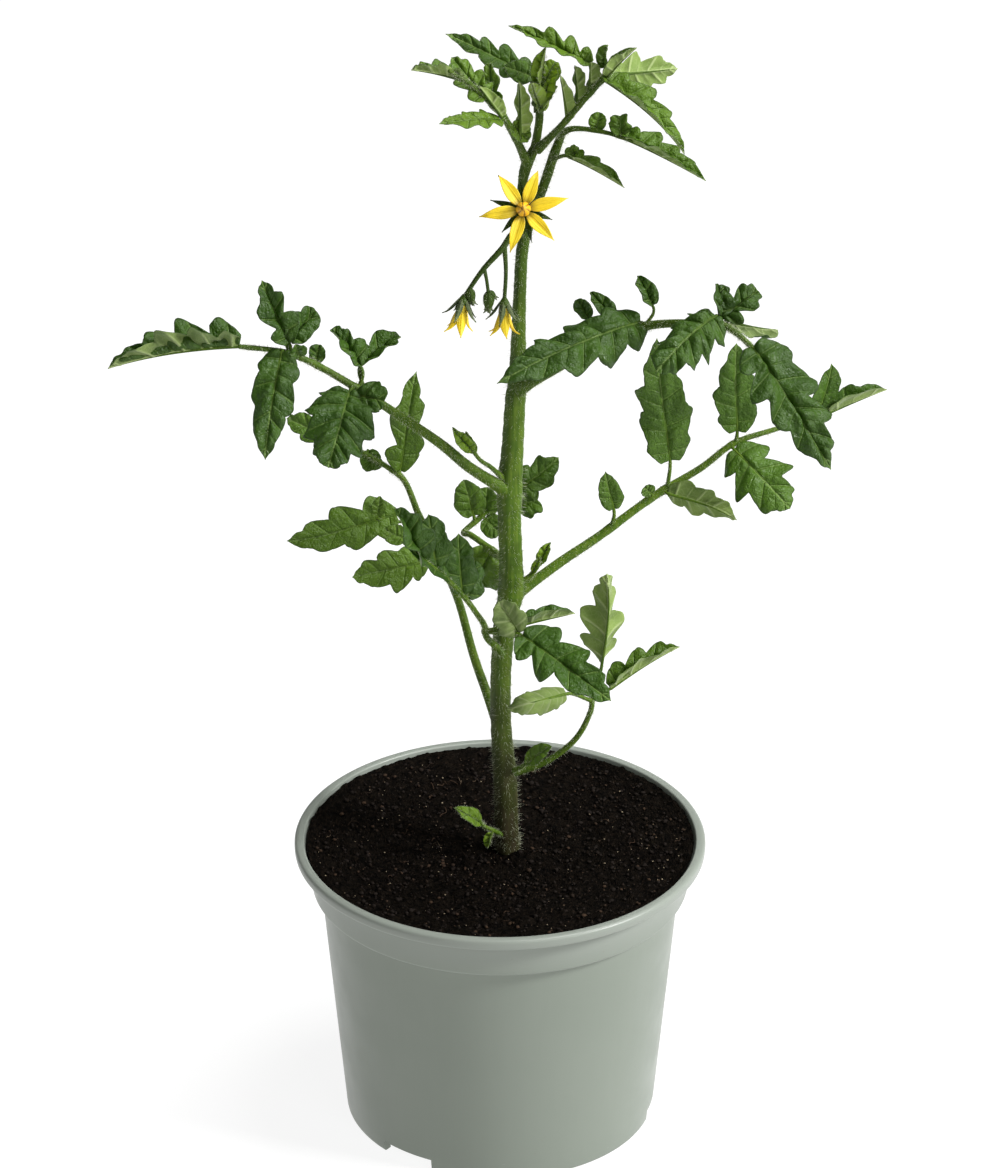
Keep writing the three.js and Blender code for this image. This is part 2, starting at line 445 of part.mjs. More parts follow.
function toGeometry(solid, weld) {
  const mesh = solid.getMesh();
  const points = [];
  for (let i = 0; i < mesh.vertProperties.length; i += 3) {
    points.push(new THREE.Vector3().fromArray(mesh.vertProperties, i));
  }
  const faces = [];
  for (let i = 0; i < mesh.triVerts.length; i += 3) faces.push([...mesh.triVerts.slice(i, i + 3)]);
  const geometry = new THREE.BufferGeometry();
  geometry.setAttribute('position', new THREE.BufferAttribute(new Float32Array(mesh.vertProperties), 3));
  geometry.setIndex((weld ? weldedFaces(points, faces) : faces).flat());
  geometry.computeVertexNormals();
  return geometry;
}

const join = (solids) => solids.reduce((sum, solid) => sum.add(solid));

// Fusing can seal a tiny hollow or cut off a scrap: only the one body that is left is kept.
function wholeBody(solid) {
  const bodies = solid.decompose().sort((a, b) => b.volume() - a.volume());
  if (bodies.length > 1 && bodies[1].volume() > 1) throw new Error('a piece has come loose');
  return bodies[0];
}

// A closed skin from rows of points, each row a closed ring, with a flat fan at both ends.
function skin(rows) {
  const sides = rows[0].length;
  const points = rows.flat();
  const faces = [];
  for (let row = 0; row + 1 < rows.length; row += 1) {
    for (let side = 0; side < sides; side += 1) {
      const next = (side + 1) % sides;
      const a = row * sides + side;
      const b = row * sides + next;
      const c = a + sides;
      const d = b + sides;
      faces.push(a, b, d, a, d, c);
    }
  }
  const last = (rows.length - 1) * sides;
  for (let side = 1; side + 1 < sides; side += 1) {
    faces.push(0, side + 1, side);
    faces.push(last, last + side, last + side + 1);
  }
  const geometry = new THREE.BufferGeometry();
  geometry.setAttribute('position', new THREE.Float32BufferAttribute(points.flatMap((p) => p.toArray()), 3));
  geometry.setIndex(faces);
  return geometry;
}

// ---------------------------------------------------------------- stems and stalks

const toVector = (place) => new THREE.Vector3(...place);

function route(places) {
  return new THREE.CatmullRomCurve3(places.map(toVector), false, 'catmullrom', 0.5);
}

function diameterAt(diameters, share) {
  const place = Math.min(Math.max(share, 0), 1) * (diameters.length - 1);
  const low = Math.min(Math.floor(place), diameters.length - 2);
  return diameters[low] + (diameters[low + 1] - diameters[low]) * (place - low);
}

// A tapered round stem through the given places; extra fattens it all over.
function stemSolid(places, diameters, { sides = RACHIS.sides, steps = RACHIS.steps, extra = 0 } = {}) {
  const curve = route(places);
  const count = (places.length - 1) * steps;
  const rows = [];
  let across = null;
  for (let i = 0; i <= count; i += 1) {
    const share = i / count;
    const along = curve.getTangent(share).normalize();
    if (!across) {
      across = new THREE.Vector3(0, -1, 0.3).cross(along).normalize();
    } else {
      across = across.clone().addScaledVector(along, -across.dot(along)).normalize();
    }
    const up = new THREE.Vector3().crossVectors(along, across);
    const radius = diameterAt(diameters, share) / 2 + extra;
    const centre = curve.getPoint(share);
    const ring = [];
    for (let side = 0; side < sides; side += 1) {
      const angle = (2 * Math.PI * side) / sides;
      ring.push(centre.clone()
        .addScaledVector(across, radius * Math.cos(angle))
        .addScaledVector(up, radius * Math.sin(angle)));
    }
    rows.push(ring);
  }
  return toManifold(skin(rows));
}

// ---------------------------------------------------------------- blades

const radians = THREE.MathUtils.degToRad;

// How far the edge is from the midrib, 1 at the widest: rounded below, drawn out to a point.
const PROFILE = { rise: 0.55, fall: 1, start: 0.03 };
const profileRaw = (u) => (u + PROFILE.start) ** PROFILE.rise * (1 - u) ** PROFILE.fall;
const PROFILE_WIDEST = (PROFILE.rise - PROFILE.fall * PROFILE.start) / (PROFILE.rise + PROFILE.fall);
const profile = (u) => profileRaw(Math.min(u, 1)) / profileRaw(PROFILE_WIDEST);

// Side veins leave the midrib square at its foot and lean forward towards the tip.
const veinAngle = (u) => radians(VEIN.foot - VEIN.lean * u ** VEIN.power);

// The share of the midrib that the side lobes take.
const lobedShare = (lobes) => 1 - LOBE.endShare * lobes ** -LOBE.endPower;

// The share of the profile that the lobes leave at midrib place u.
function lobing(u, lobes, cut) {
  if (!lobes) return 1;
  const count = lobes * (u / lobedShare(lobes)) ** LOBE.power;
  const within = count >= lobes
    ? Math.min((count - lobes) / (2 * LOBE.endTip), 0.5)
    : (count - Math.floor(count)) ** LOBE.power;
  const depth = Math.abs(1 - 2 * within) ** LOBE.sharpness * (count < LOBE.tip ? 0.5 : 1);
  return 1 - cut * depth * (1 - LOBE.shallower * u);
}

// Midrib places of the lobe tips and of the cuts between them.
function stations(lobes) {
  if (!lobes) return [0, 0.4, 1];
  const at = (count) => lobedShare(lobes) * (count / lobes) ** (1 / LOBE.power);
  const places = [0];
  for (let lobe = 0; lobe < lobes; lobe += 1) {
    places.push(at(lobe + LOBE.tip), at(lobe + 1));
  }
  places.push(at(lobes + LOBE.endTip), 1);
  return places;
}

// Returns a function (u, side, lift) that gives a point of a leaflet: u runs along the
// midrib, side is -1, 0 or 1 for an edge or the midrib, and lift is the height above the mid-face.
function bladeShape({ base, tip, faces, width, lobes, cut, fold, arch, curl }) {
  const start = toVector(base);
  const chord = toVector(tip).sub(start);
  const along = chord.clone().normalize();
  const up = toVector(faces);
  up.addScaledVector(along, -up.dot(along)).normalize();
  const across = new THREE.Vector3().crossVectors(up, along);
  const bend = radians(arch || 1);
  const length = (chord.length() * bend) / 2 / Math.sin(bend / 2);
  const rise = radians(fold);
  const roll = radians(curl || 1) / (width / 2);
  return (u, side, lift) => {
    const reach = Math.max((width / 2) * profile(u) * lobing(u, lobes, cut), BLADE.bluntTip);
    const angle = veinAngle(u);
    const x = length * u + (side ? reach * Math.cos(angle) : 0);
    const y = side ? reach * Math.sin(angle) : 0;
    const slope = bend / 2 - (bend * x) / length;
    const ahead = (length * (Math.sin(bend / 2) - Math.sin(slope))) / bend;
    const height = (length * (Math.cos(slope) - Math.cos(bend / 2))) / bend;
    const tilt = rise - roll * y;
    const out = (Math.sin(rise) - Math.sin(tilt)) / roll;
    const above = (Math.cos(tilt) - Math.cos(rise)) / roll;
    const normalOut = side ? -Math.sin(tilt) : 0;
    const normalUp = side ? Math.cos(tilt) : 1 / Math.cos(rise);
    const lifted = above + lift * normalUp;
    const sideways = side * (out + lift * normalOut);
    return start.clone()
      .addScaledVector(along, ahead - lifted * Math.sin(slope))
      .addScaledVector(up, height + lifted * Math.cos(slope))
      .addScaledVector(across, sideways);
  };
}

// The six corners of the stalk's section, in the order of the blade's.
function stalkRing(centre, along, up, radius) {
  const level = up.clone().addScaledVector(along, -up.dot(along)).normalize();
  const across = new THREE.Vector3().crossVectors(level, along);
  return [60, 120, 180, 240, 300, 0].map((angle) => centre.clone()
    .addScaledVector(across, -radius * Math.sin(radians(angle)))
    .addScaledVector(level, radius * Math.cos(radians(angle))));
}

// A thin solid blade on its stalk, cut the same way on both faces.  root is where the stalk
// leaves the rachis.
function leafletSolid(leaflet, root) {
  const shape = bladeShape(leaflet);
  const half = BLADE.thickness / 2;
  const foot = toVector(leaflet.base);
  const away = toVector(leaflet.tip).sub(foot).normalize();
  const up = toVector(leaflet.faces).normalize();
  const rows = [];
  if (foot.distanceTo(root) > STALK.shortest) {
    const along = foot.clone().sub(root).normalize();
    const turning = along.clone().add(away).normalize();
    rows.push(stalkRing(root, along, up, STALK.root));
    rows.push(stalkRing(foot.clone().addScaledVector(turning, -STALK.flare), turning, up, STALK.foot));
  } else {
    const sunk = foot.distanceTo(root) + STALK.foot;
    rows.push(stalkRing(foot.clone().addScaledVector(away, -sunk), away, up, STALK.root));
  }
  rows.push(...stations(leaflet.lobes).map((u) => [
    shape(u, -1, half), shape(u, -1, -half), shape(u, 0, -half),
    shape(u, 1, -half), shape(u, 1, half), shape(u, 0, half),
  ]));
  const sides = 6;
  const faces = [];
  for (let row = 0; row + 1 < rows.length; row += 1) {
    const here = row * sides;
    const ahead = here + sides;
    for (let a = 0; a < sides; a += 1) {
      const b = (a + 1) % sides;
      if (a === 1 || a === 4) {
        faces.push(here + a, here + b, ahead + a, here + b, ahead + b, ahead + a);
      } else {
        faces.push(here + a, here + b, ahead + b, here + a, ahead + b, ahead + a);
      }
    }
  }
  const last = (rows.length - 1) * sides;
  for (const [a, b, c] of [[0, 1, 2], [0, 2, 5], [5, 2, 3], [5, 3, 4]]) {
    faces.push(a, c, b);
    faces.push(last + a, last + b, last + c);
  }
  const geometry = new THREE.BufferGeometry();
  const positions = rows.flat().flatMap((p) => p.toArray());
  geometry.setAttribute('position', new THREE.Float32BufferAttribute(positions, 3));
  geometry.setIndex(faces);
  const solid = toManifold(geometry);
  if (solid.volume() <= 0) throw new Error('a blade is inside out');
  return solid;
}

// A narrow flat petal or sepal, widest near its foot.
const PETAL_WIDTHS = [[0, 0.62], [0.38, 1], [1, 0.12]];   // place along it, share of its width

function petalSolid({ base, tip, faces, width }) {
  const start = toVector(base);
  const chord = toVector(tip).sub(start);
  const up = toVector(faces);
  up.addScaledVector(chord, -up.dot(chord) / chord.lengthSq()).normalize();
  const across = new THREE.Vector3().crossVectors(up, chord).normalize();
  const half = BLADE.thickness / 2;
  const rows = PETAL_WIDTHS.map(([u, share]) => {
    const middle = start.clone().addScaledVector(chord, u);
    const corner = (side, lift) => middle.clone()
      .addScaledVector(across, (side * width * share) / 2).addScaledVector(up, lift);
    return [corner(-1, half), corner(-1, -half), corner(1, -half), corner(1, half)];
  });
  return toManifold(skin(rows));
}

// ---------------------------------------------------------------- leaves

function leafSolids({ rachis, thickness, leaflets }) {
  const curve = route(rachis);
  const solids = [stemSolid(rachis, thickness)];
  for (const leaflet of leaflets) {
    solids.push(leafletSolid(leaflet, curve.getPoint(Math.min(leaflet.at, LAST_ROOT))));
  }
  return solids;
}

// ---------------------------------------------------------------- stem, shoots and sprouts

function stemWithFork(extra) {
  const stem = stemSolid(STEM_ROUTE, STEM_DIAMETERS, { ...STEM, extra });
  return stem.add(stemSolid(FORK_ROUTE, FORK_DIAMETERS, { extra }));
}

// ---------------------------------------------------------------- flowers

// Narrow pointed blades set round an axis, for petals and sepals.
function whorl({ centre, axis, turn, tips, reach, width, spread, lift = 0, inset = 0.8 }) {
  const middle = toVector(centre);
  const forward = toVector(axis).normalize();
  const sideways = new THREE.Vector3(1, 0, 0).addScaledVector(forward, -forward.x).normalize();
  const upward = new THREE.Vector3().crossVectors(forward, sideways);
  const solids = [];
  for (let index = 0; index < tips; index += 1) {
    const angle = radians(turn + (360 * index) / tips);
    const out = sideways.clone().multiplyScalar(Math.cos(angle)).addScaledVector(upward, Math.sin(angle));
    const direction = out.clone().multiplyScalar(Math.sin(radians(spread)))
      .addScaledVector(forward, Math.cos(radians(spread)));
    const face = forward.clone().multiplyScalar(Math.sin(radians(spread)))
      .addScaledVector(out, -Math.cos(radians(spread)));
    const foot = middle.clone().addScaledVector(out, inset).addScaledVector(forward, lift);
    const tip = foot.clone().addScaledVector(direction, reach);
    solids.push(petalSolid({ base: foot.toArray(), tip: tip.toArray(), faces: face.toArray(), width }));
  }
  return solids;
}

// A short tapered solid of revolution along an axis, given as pairs of distance and diameter.
function spindle(centre, axis, outline, sides) {
  const start = toVector(centre);
  const forward = toVector(axis).normalize();
  const places = outline.map(([distance]) => start.clone().addScaledVector(forward, distance).toArray());
  return stemSolid(places, outline.map(([, diameter]) => diameter), { sides, steps: 1 });
}

function openFlower() {
  const { centre, axis } = OPEN_FLOWER;
  return join([
    spindle(centre, axis, OPEN_FLOWER.disc, CAP.open),
    ...whorl({ centre, axis, ...OPEN_FLOWER.petals }),
  ]);
}

function anthers() {
  const { centre, axis, cone } = OPEN_FLOWER;
  return spindle(centre, axis, cone, CAP.open);
}

const openCalyx = () => {
  const { axis, calyxCentre } = OPEN_FLOWER;
  return [
    spindle(calyxCentre, axis, OPEN_FLOWER.cup, CAP.hanging),
    ...whorl({ centre: calyxCentre, axis, ...OPEN_FLOWER.sepals }),
  ];
};

function hangingFlower({ centre, axis }) {
  return join([
    spindle(centre, axis, HALF_OPEN.bell, CAP.hanging),
    ...whorl({ centre, axis, ...HALF_OPEN.petals }),
  ]);
}

const hangingCalyx = ({ centre, axis }) => [
  spindle(centre, axis, HALF_OPEN.cup, CAP.hanging),
  ...whorl({ centre, axis, ...HALF_OPEN.sepals }),
];

function truss() {
  const stalks = TRUSS.stalks.map(({ places, diameters }) => stemSolid(places, diameters));
  const buds = TRUSS.buds.map(({ centre, axis, size }) => spindle(
    centre, axis, TRUSS.budOutline.map((pair) => pair.map((share) => share * size)), CAP.hanging,
  ));
  return join([...stalks, ...buds, ...openCalyx(), ...HALF_OPEN.flowers.flatMap(hangingCalyx)]);
}

// ---------------------------------------------------------------- pot and soil

// A solid of revolution about +Z from a closed outline of [radius, height] pairs.
function turned(outline, sides) {
  const points = outline.map(([radius, height]) => new THREE.Vector2(radius, height));
  const geometry = new THREE.LatheGeometry(points, sides);
  geometry.rotateX(Math.PI / 2);
  return toManifold(geometry);
}

function potSolid() {
  const { height, wall, floor, footRing, footRadius, shoulderRadius, lipLow, lipFace, rimRadius } = POT;
  const { collarLow, collarHigh, collarRadius, collarTopRadius, lipInside, rounding, step } = POT;
  const { lipOuterFoot, lipSeat, collarInside } = POT;
  const outside = [
    [footRadius - rounding, 0], [footRadius, rounding], [shoulderRadius, collarLow - step],
    [collarRadius, collarLow], [collarTopRadius, collarHigh], [lipOuterFoot, lipLow],
    [rimRadius - rounding, lipLow], [rimRadius, lipLow + lipFace[0]], [rimRadius, lipLow + lipFace[1]],
    [rimRadius - rounding, height - rounding / 2], [rimRadius - 2 * rounding, height],
    [lipInside, height - rounding / 2],
  ];
  const inside = [
    lipSeat, collarInside, [collarRadius - wall, collarLow + wall / 2],
    [shoulderRadius - wall, collarLow - 1.5 * step], [footRadius - wall + 0.5, footRing + floor],
    [0, footRing + floor], [0, footRing], [footRadius - wall - 1, footRing],
    [footRadius - 2 * wall, 0],
  ];
  const outline = [...outside, ...inside];
  outline.push(outline[0]);
  let solid = turned(outline, POT.sides);
  for (let index = 0; index < NOTCH.count; index += 1) {
    solid = solid.subtract(notchCut(NOTCH.first + (360 * index) / NOTCH.count));
  }
  for (let index = 0; index < DRAIN.count; index += 1) {
    solid = solid.subtract(drainCut((360 * (index + 0.5)) / DRAIN.count));
  }
  return solid;
}

// A block through the foot ring; azimuth 0 faces the front and grows towards +X.
function notchCut(azimuth) {
  const chord = 2 * POT.footRadius * Math.sin(radians(NOTCH.width / 2));
  const block = new THREE.BoxGeometry(chord, 12, 2 * NOTCH.height);
  block.translate(0, -POT.footRadius, 0);
  block.rotateZ(radians(azimuth));
  return toManifold(block);
}

function drainCut(azimuth) {
  const hole = new THREE.CylinderGeometry(DRAIN.radius, DRAIN.radius, 4 * POT.floor, DRAIN.sides);
  hole.rotateX(Math.PI / 2);
  hole.translate(DRAIN.circle, 0, POT.footRing + POT.floor / 2);
  hole.rotateZ(radians(azimuth));
  return toManifold(hole);
}

// The soil fills the pot up to the lip; its top is uneven and a little dished.
function soilHeight(x, y) {
  const wave = Math.sin(x * 0.11 + 0.6) * Math.cos(y * 0.13) + 0.5 * Math.sin(x * 0.29 + y * 0.23);
  const outward = Math.min(Math.hypot(x, y) / POT.lipSeat[0], 1) ** 2;
  return SOIL.surface + SOIL.dish * outward + SOIL.unevenness * (1 - outward) * (wave / 1.5);
}

function soilSolid() {
  const { wall, collarLow, footRing, floor, footRadius, shoulderRadius, collarRadius, step } = POT;
  const { collarInside, lipSeat } = POT;
  const inward = wall + GAP + SOIL.clearance;
  const low = footRing + floor + GAP;
  const edge = lipSeat[0] - GAP - SOIL.clearance / 2;
  const outline = [[0, low], [footRadius - inward + SOIL.clearance, low],
    [shoulderRadius - inward, collarLow - 2 * step], [collarRadius - inward, collarLow + step],
    [collarInside[0] - GAP - SOIL.clearance, collarInside[1]]];
  for (let ring = 0; ring <= SOIL.rings; ring += 1) {
    outline.push([edge * (1 - ring / SOIL.rings), SOIL.surface]);
  }
  const points = outline.map(([radius, height]) => new THREE.Vector2(radius, height));
  const geometry = new THREE.LatheGeometry(points, SOIL.sides);
  geometry.rotateX(Math.PI / 2);
  const place = geometry.attributes.position;
  for (let i = 0; i < place.count; i += 1) {
    if (Math.abs(place.getZ(i) - SOIL.surface) < 0.01) {
      place.setZ(i, soilHeight(place.getX(i), place.getY(i)));
    }
  }
  return toManifold(geometry);
}

// ---------------------------------------------------------------- the plant, put together

const group = new THREE.Group();

function addPart(name, solid, color, roughness = 0.6) {
  const material = new THREE.MeshStandardMaterial({ color, roughness, metalness: 0 });
  const welded = toManifold(toGeometry(solid, true));
  const mesh = new THREE.Mesh(toGeometry(wholeBody(welded), false), material);
  mesh.name = name;
  group.add(mesh);
}

const stemRoom = stemWithFork(GAP);

addPart('pot', potSolid(), COLOUR.pot, 0.45);
addPart('soil', soilSolid().subtract(stemRoom), COLOUR.soil, 0.95);
addPart('stem', stemWithFork(0), COLOUR.stem);
for (const [name, leaf] of Object.entries(LEAVES)) {
  const colour = YOUNG.includes(name) ? COLOUR.youngLeaf : COLOUR.leaf;
  addPart(name, join(leafSolids(leaf)).subtract(stemRoom), colour);
}
addPart('flower_truss', truss().subtract(stemRoom), COLOUR.truss);
addPart('flower_open', openFlower(), COLOUR.petal, 0.5);
addPart('flower_anthers', anthers(), COLOUR.anther, 0.5);
HALF_OPEN.flowers.forEach((flower) => addPart(flower.name, hangingFlower(flower), COLOUR.petal, 0.5));

export default group;
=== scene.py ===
import math

import bpy
import numpy as np
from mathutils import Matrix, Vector


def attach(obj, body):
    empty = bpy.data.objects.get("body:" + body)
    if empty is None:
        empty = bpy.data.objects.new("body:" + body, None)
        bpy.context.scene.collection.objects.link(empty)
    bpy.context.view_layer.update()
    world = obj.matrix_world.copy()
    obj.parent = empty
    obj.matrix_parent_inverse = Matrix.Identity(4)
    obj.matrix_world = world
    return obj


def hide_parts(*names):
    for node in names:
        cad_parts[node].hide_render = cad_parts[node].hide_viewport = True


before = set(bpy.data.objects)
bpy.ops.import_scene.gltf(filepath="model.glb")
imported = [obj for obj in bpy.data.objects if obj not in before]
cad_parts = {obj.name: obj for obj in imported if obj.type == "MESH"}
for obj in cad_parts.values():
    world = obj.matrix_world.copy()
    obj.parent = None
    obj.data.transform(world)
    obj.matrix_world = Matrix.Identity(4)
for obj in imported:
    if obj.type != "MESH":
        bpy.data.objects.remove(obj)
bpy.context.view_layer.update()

# A young tomato plant in a round plastic nursery pot.  Sizes below are in millimetres, in the
# frame's axes: the origin is on the ground on the pot's axis, +Z is up and -Y is the front.
MM = 0.001
BODY = "root"


# ------------------------------------------------------------------ camera, light and floor

CAMERA = {"place": (0, -1850.75, 1163.84), "down": 27.157, "lens": 180, "sensor": 36}
KEY_LIGHT = {"place": (1620, -580, 1360), "aim": (0, 0, 200), "size": 500, "watts": 50}
FILL_LIGHT = {"place": (1000, -1800, 1250), "aim": (0, 0, 260), "size": 900, "watts": 9}
TOP_LIGHT = {"place": (550, 150, 2050), "aim": (0, 0, 150), "size": 800, "watts": 30}
SKY_STRENGTH = 0.12
FLOOR_SIZE = 9000
FLOOR_GLOW = 0.88
FLOOR_DROP = 0.2                     # keeps the floor clear of the pot's foot ring


def linked(name, data):
    """An object of the data, in the scene."""
    made = bpy.data.objects.new(name, data)
    bpy.context.collection.objects.link(made)
    return made


def set_camera():
    """The photograph's view: from a little above the plant, through a long lens."""
    data = bpy.data.cameras.new("camera")
    data.lens = CAMERA["lens"]
    data.sensor_width = CAMERA["sensor"]
    camera = linked("camera", data)
    camera.location = Vector(CAMERA["place"]) * MM
    camera.rotation_euler = (math.radians(90 - CAMERA["down"]), 0, 0)
    bpy.context.scene.camera = camera


def add_light(name, light):
    """A large soft square light that looks at its aim."""
    data = bpy.data.lights.new(name, "AREA")
    data.size = light["size"] * MM
    data.energy = light["watts"]
    lamp = linked(name, data)
    lamp.location = Vector(light["place"]) * MM
    toward = Vector(light["aim"]) - Vector(light["place"])
    lamp.rotation_euler = toward.to_track_quat("-Z", "Y").to_euler()


def set_sky():
    """A plain white surround, seen in soft reflections."""
    world = bpy.data.worlds.new("studio")
    world.use_nodes = True
    background = world.node_tree.nodes["Background"]
    background.inputs["Color"].default_value = (1, 1, 1, 1)
    background.inputs["Strength"].default_value = SKY_STRENGTH
    bpy.context.scene.world = world
    bpy.context.scene.view_settings.view_transform = "Standard"


# ------------------------------------------------------------------ shader wiring

class Wire:
    """A shader socket.  Arithmetic on it adds Math nodes."""

    def __init__(self, finish, socket):
        self.finish = finish
        self.socket = socket

    def math(self, operation, *values):
        """A Math node on the values, in their order."""
        return self.finish.node("Math", {"operation": operation}, dict(enumerate(values)))

    def __add__(self, other):
        return self.math("ADD", self, other)

    def __sub__(self, other):
        return self.math("SUBTRACT", self, other)

    def __rsub__(self, other):
        return self.math("SUBTRACT", other, self)

    def __mul__(self, other):
        return self.math("MULTIPLY", self, other)

    def __truediv__(self, other):
        return self.math("DIVIDE", self, other)

    def __rtruediv__(self, other):
        return self.math("DIVIDE", other, self)

    def __abs__(self):
        return self.math("ABSOLUTE", self)

    __radd__ = __add__
    __rmul__ = __mul__

    def fraction(self):
        """What is left over from whole numbers."""
        return self.math("FRACT", self)

    def sine(self):
        """The sine of the value, in radians."""
        return self.math("SINE", self)

    def larger(self, other):
        """The larger of two values."""
        return self.math("MAXIMUM", self, other)

    def ease(self, low, high, start=0.0, end=1.0):
        """Goes smoothly from start to end as the value goes from low to high."""
        settings = {"interpolation_type": "SMOOTHSTEP"}
        inputs = {"Value": self, "From Min": low, "From Max": high, "To Min": start, "To Max": end}
        return self.finish.node("MapRange", settings, inputs)


class Finish:
    """A node material, built from wires."""

    def __init__(self, name):
        self.material = bpy.data.materials.new(name)
        self.material.use_nodes = True
        self.tree = self.material.node_tree
        self.tree.nodes.clear()

    def node(self, kind, settings=None, inputs=None, out=0):
        """Adds a node: its settings are set first, then its sockets get values or links."""
        made = self.tree.nodes.new("ShaderNode" + kind)
        for key, value in (settings or {}).items():
            setattr(made, key, value)
        for key, value in (inputs or {}).items():
            if isinstance(value, Wire):
                self.tree.links.new(value.socket, made.inputs[key])
            else:
                made.inputs[key].default_value = value
        return Wire(self, made.outputs[out])

    def place(self, stretch=(1, 1, 1)):
        """The point on the piece, in metres, stretched along the frame's axes."""
        point = self.node("TexCoord", out="Object")
        if stretch == (1, 1, 1):
            return point
        return self.node("VectorMath", {"operation": "MULTIPLY"}, {0: point, 1: stretch})

    def height(self):
        """The point's height above the ground, in millimetres."""
        split = self.node("SeparateXYZ", None, {"Vector": self.place()}, out="Z")
        return split / MM

    def mark(self, name):
        """A number kept on the mesh's points."""
        return self.node("Attribute", {"attribute_name": name}, out="Fac")

    def noise(self, scale, detail=3.0, stretch=(1, 1, 1), rough=0.5):
        """Soft noise, 0 to 1; scale is in waves to a metre."""
        inputs = {"Vector": self.place(stretch), "Scale": scale, "Detail": detail, "Roughness": rough}
        return self.node("TexNoise", {"noise_dimensions": "3D"}, inputs, out="Fac")

    def net(self, scale):
        """Distance from the walls of random cells; scale is in cells to a metre."""
        inputs = {"Vector": self.place(), "Scale": scale}
        return self.node("TexVoronoi", {"feature": "DISTANCE_TO_EDGE"}, inputs, out="Distance")

    def mix(self, amount, first, second):
        """A colour between two colours."""
        inputs = {0: amount, 6: as_colour(first), 7: as_colour(second)}
        return self.node("Mix", {"data_type": "RGBA"}, inputs, out=2)

    def bump(self, height, strength, depth):
        """A bump; depth is in millimetres."""
        inputs = {"Height": height, "Strength": strength, "Distance": depth * MM}
        return self.node("Bump", None, inputs)

    def surface(self, colour, rough, normal=None, **constants):
        """A Principled shader; constants are set on its own sockets."""
        inputs = {"Base Color": as_colour(colour), "Roughness": rough}
        if normal is not None:
            inputs["Normal"] = normal
        for key, value in constants.items():
            inputs[key.replace("_", " ").title().replace("Ior", "IOR")] = value
        return self.node("BsdfPrincipled", None, inputs)

    def done(self, shader):
        """The material, with the shader as its surface."""
        output = self.tree.nodes.new("ShaderNodeOutputMaterial")
        self.tree.links.new(shader.socket, output.inputs["Surface"])
        return self.material

    def lit_through(self, shader, colour, share):
        """Lets a share of the light through, as a thin leaf or petal does."""
        through = self.node("BsdfTranslucent", None, {"Color": as_colour(colour)})
        return self.node("MixShader", None, {0: share, 1: shader, 2: through})


def as_colour(colour):
    """A colour as a socket takes it; a wire stays as it is."""
    return (*colour, 1) if isinstance(colour, tuple) and len(colour) == 3 else colour


# ------------------------------------------------------------------ finishes

LEAF_DARK = (0.027, 0.066, 0.007)
LEAF_MID = (0.062, 0.135, 0.012)
LEAF_VEIN = (0.17, 0.27, 0.06)
LEAF_EDGE = (0.016, 0.034, 0.008)
UNDER_MID = (0.22, 0.31, 0.07)
UNDER_DARK = (0.11, 0.175, 0.032)
UNDER_VEIN = (0.4, 0.5, 0.19)
UNDER_YOUNG = (0.38, 0.56, 0.07)
YOUNG_MID = (0.27, 0.43, 0.02)
THROUGH = (0.2, 0.42, 0.012)
THROUGH_SHARE = 0.26
# the darker green of sepals and buds, also used as painted shade on leaflets
SEPAL_DARK_AND_PAINTED_SHADE = (0.02, 0.034, 0.008)
VEIN_PLACE = 0.44                   # where the side vein runs within a lobe's share


def vein_masks(finish):
    """Masks of the midrib, of the side veins and of the fine net between them."""
    count = finish.mark("count")
    pitch = finish.mark("pitch")
    off_rib = abs(finish.mark("off_rib"))
    share = finish.mark("share")
    from_main = abs((count - VEIN_PLACE + 0.5).fraction() - 0.5) * pitch
    from_small = abs((count - VEIN_PLACE).fraction() - 0.5) * pitch
    wobble = finish.noise(260, 2.0) * 0.5 - 0.25
    main = (from_main + wobble * share).ease(0.1, 0.5, 1.0, 0.0) * share.ease(0.75, 1.0, 1.0, 0.25)
    small = (from_small + wobble).ease(0.05, 0.38, 0.55, 0.0) * share.ease(0.3, 0.9, 1.0, 0.1)
    rib = off_rib.ease(0.22, 0.62, 1.0, 0.0)
    fine = finish.net(520).ease(0.0, 0.09, 0.4, 0.0)
    return rib, main.larger(small), fine


def leaf_finish():
    """The upper face: dull dark green, paler along the sunken veins."""
    finish = Finish("leaf_upper")
    rib, veins, fine = vein_masks(finish)
    tone = finish.mark("tone")
    cloud = finish.noise(90, 3.0).ease(0.3, 0.72)
    colour = finish.mix(cloud * 0.55 + tone * 0.5, LEAF_DARK, LEAF_MID)
    # The "young" mark holds the leaf's fresh share: partly the paler green of young growth and partly
    # painted light.
    colour = finish.mix(finish.mark("young"), colour, YOUNG_MID)
    colour = finish.mix((rib * 0.95).larger(veins * 0.6).larger(fine * 0.2), colour, LEAF_VEIN)
    colour = finish.mix(finish.mark("share").ease(0.9, 1.0, 0.0, 0.6), colour, LEAF_EDGE)
    # The "dark" mark is the real darker green of sepals and buds, and on leaflets it is painted shade.
    colour = finish.mix(finish.mark("dark"), colour, SEPAL_DARK_AND_PAINTED_SHADE)
    grain = finish.noise(1500, 2.0) * 0.3 + finish.net(900).ease(0.0, 0.3) * 0.35
    quilt = finish.net(360).ease(0.0, 0.42) + finish.noise(260, 1.0) * 0.7
    relief = grain * 0.8 + quilt * 0.75 - rib * 0.8 - veins * 1.2 - fine * 0.4
    normal = finish.bump(relief, 0.8, 0.5)
    rough = finish.noise(200, 2.0).ease(0.3, 0.7, 0.36, 0.5)
    shader = finish.surface(colour, rough, normal, specular_ior_level=0.34)
    return finish.done(finish.lit_through(shader, THROUGH, THROUGH_SHARE))


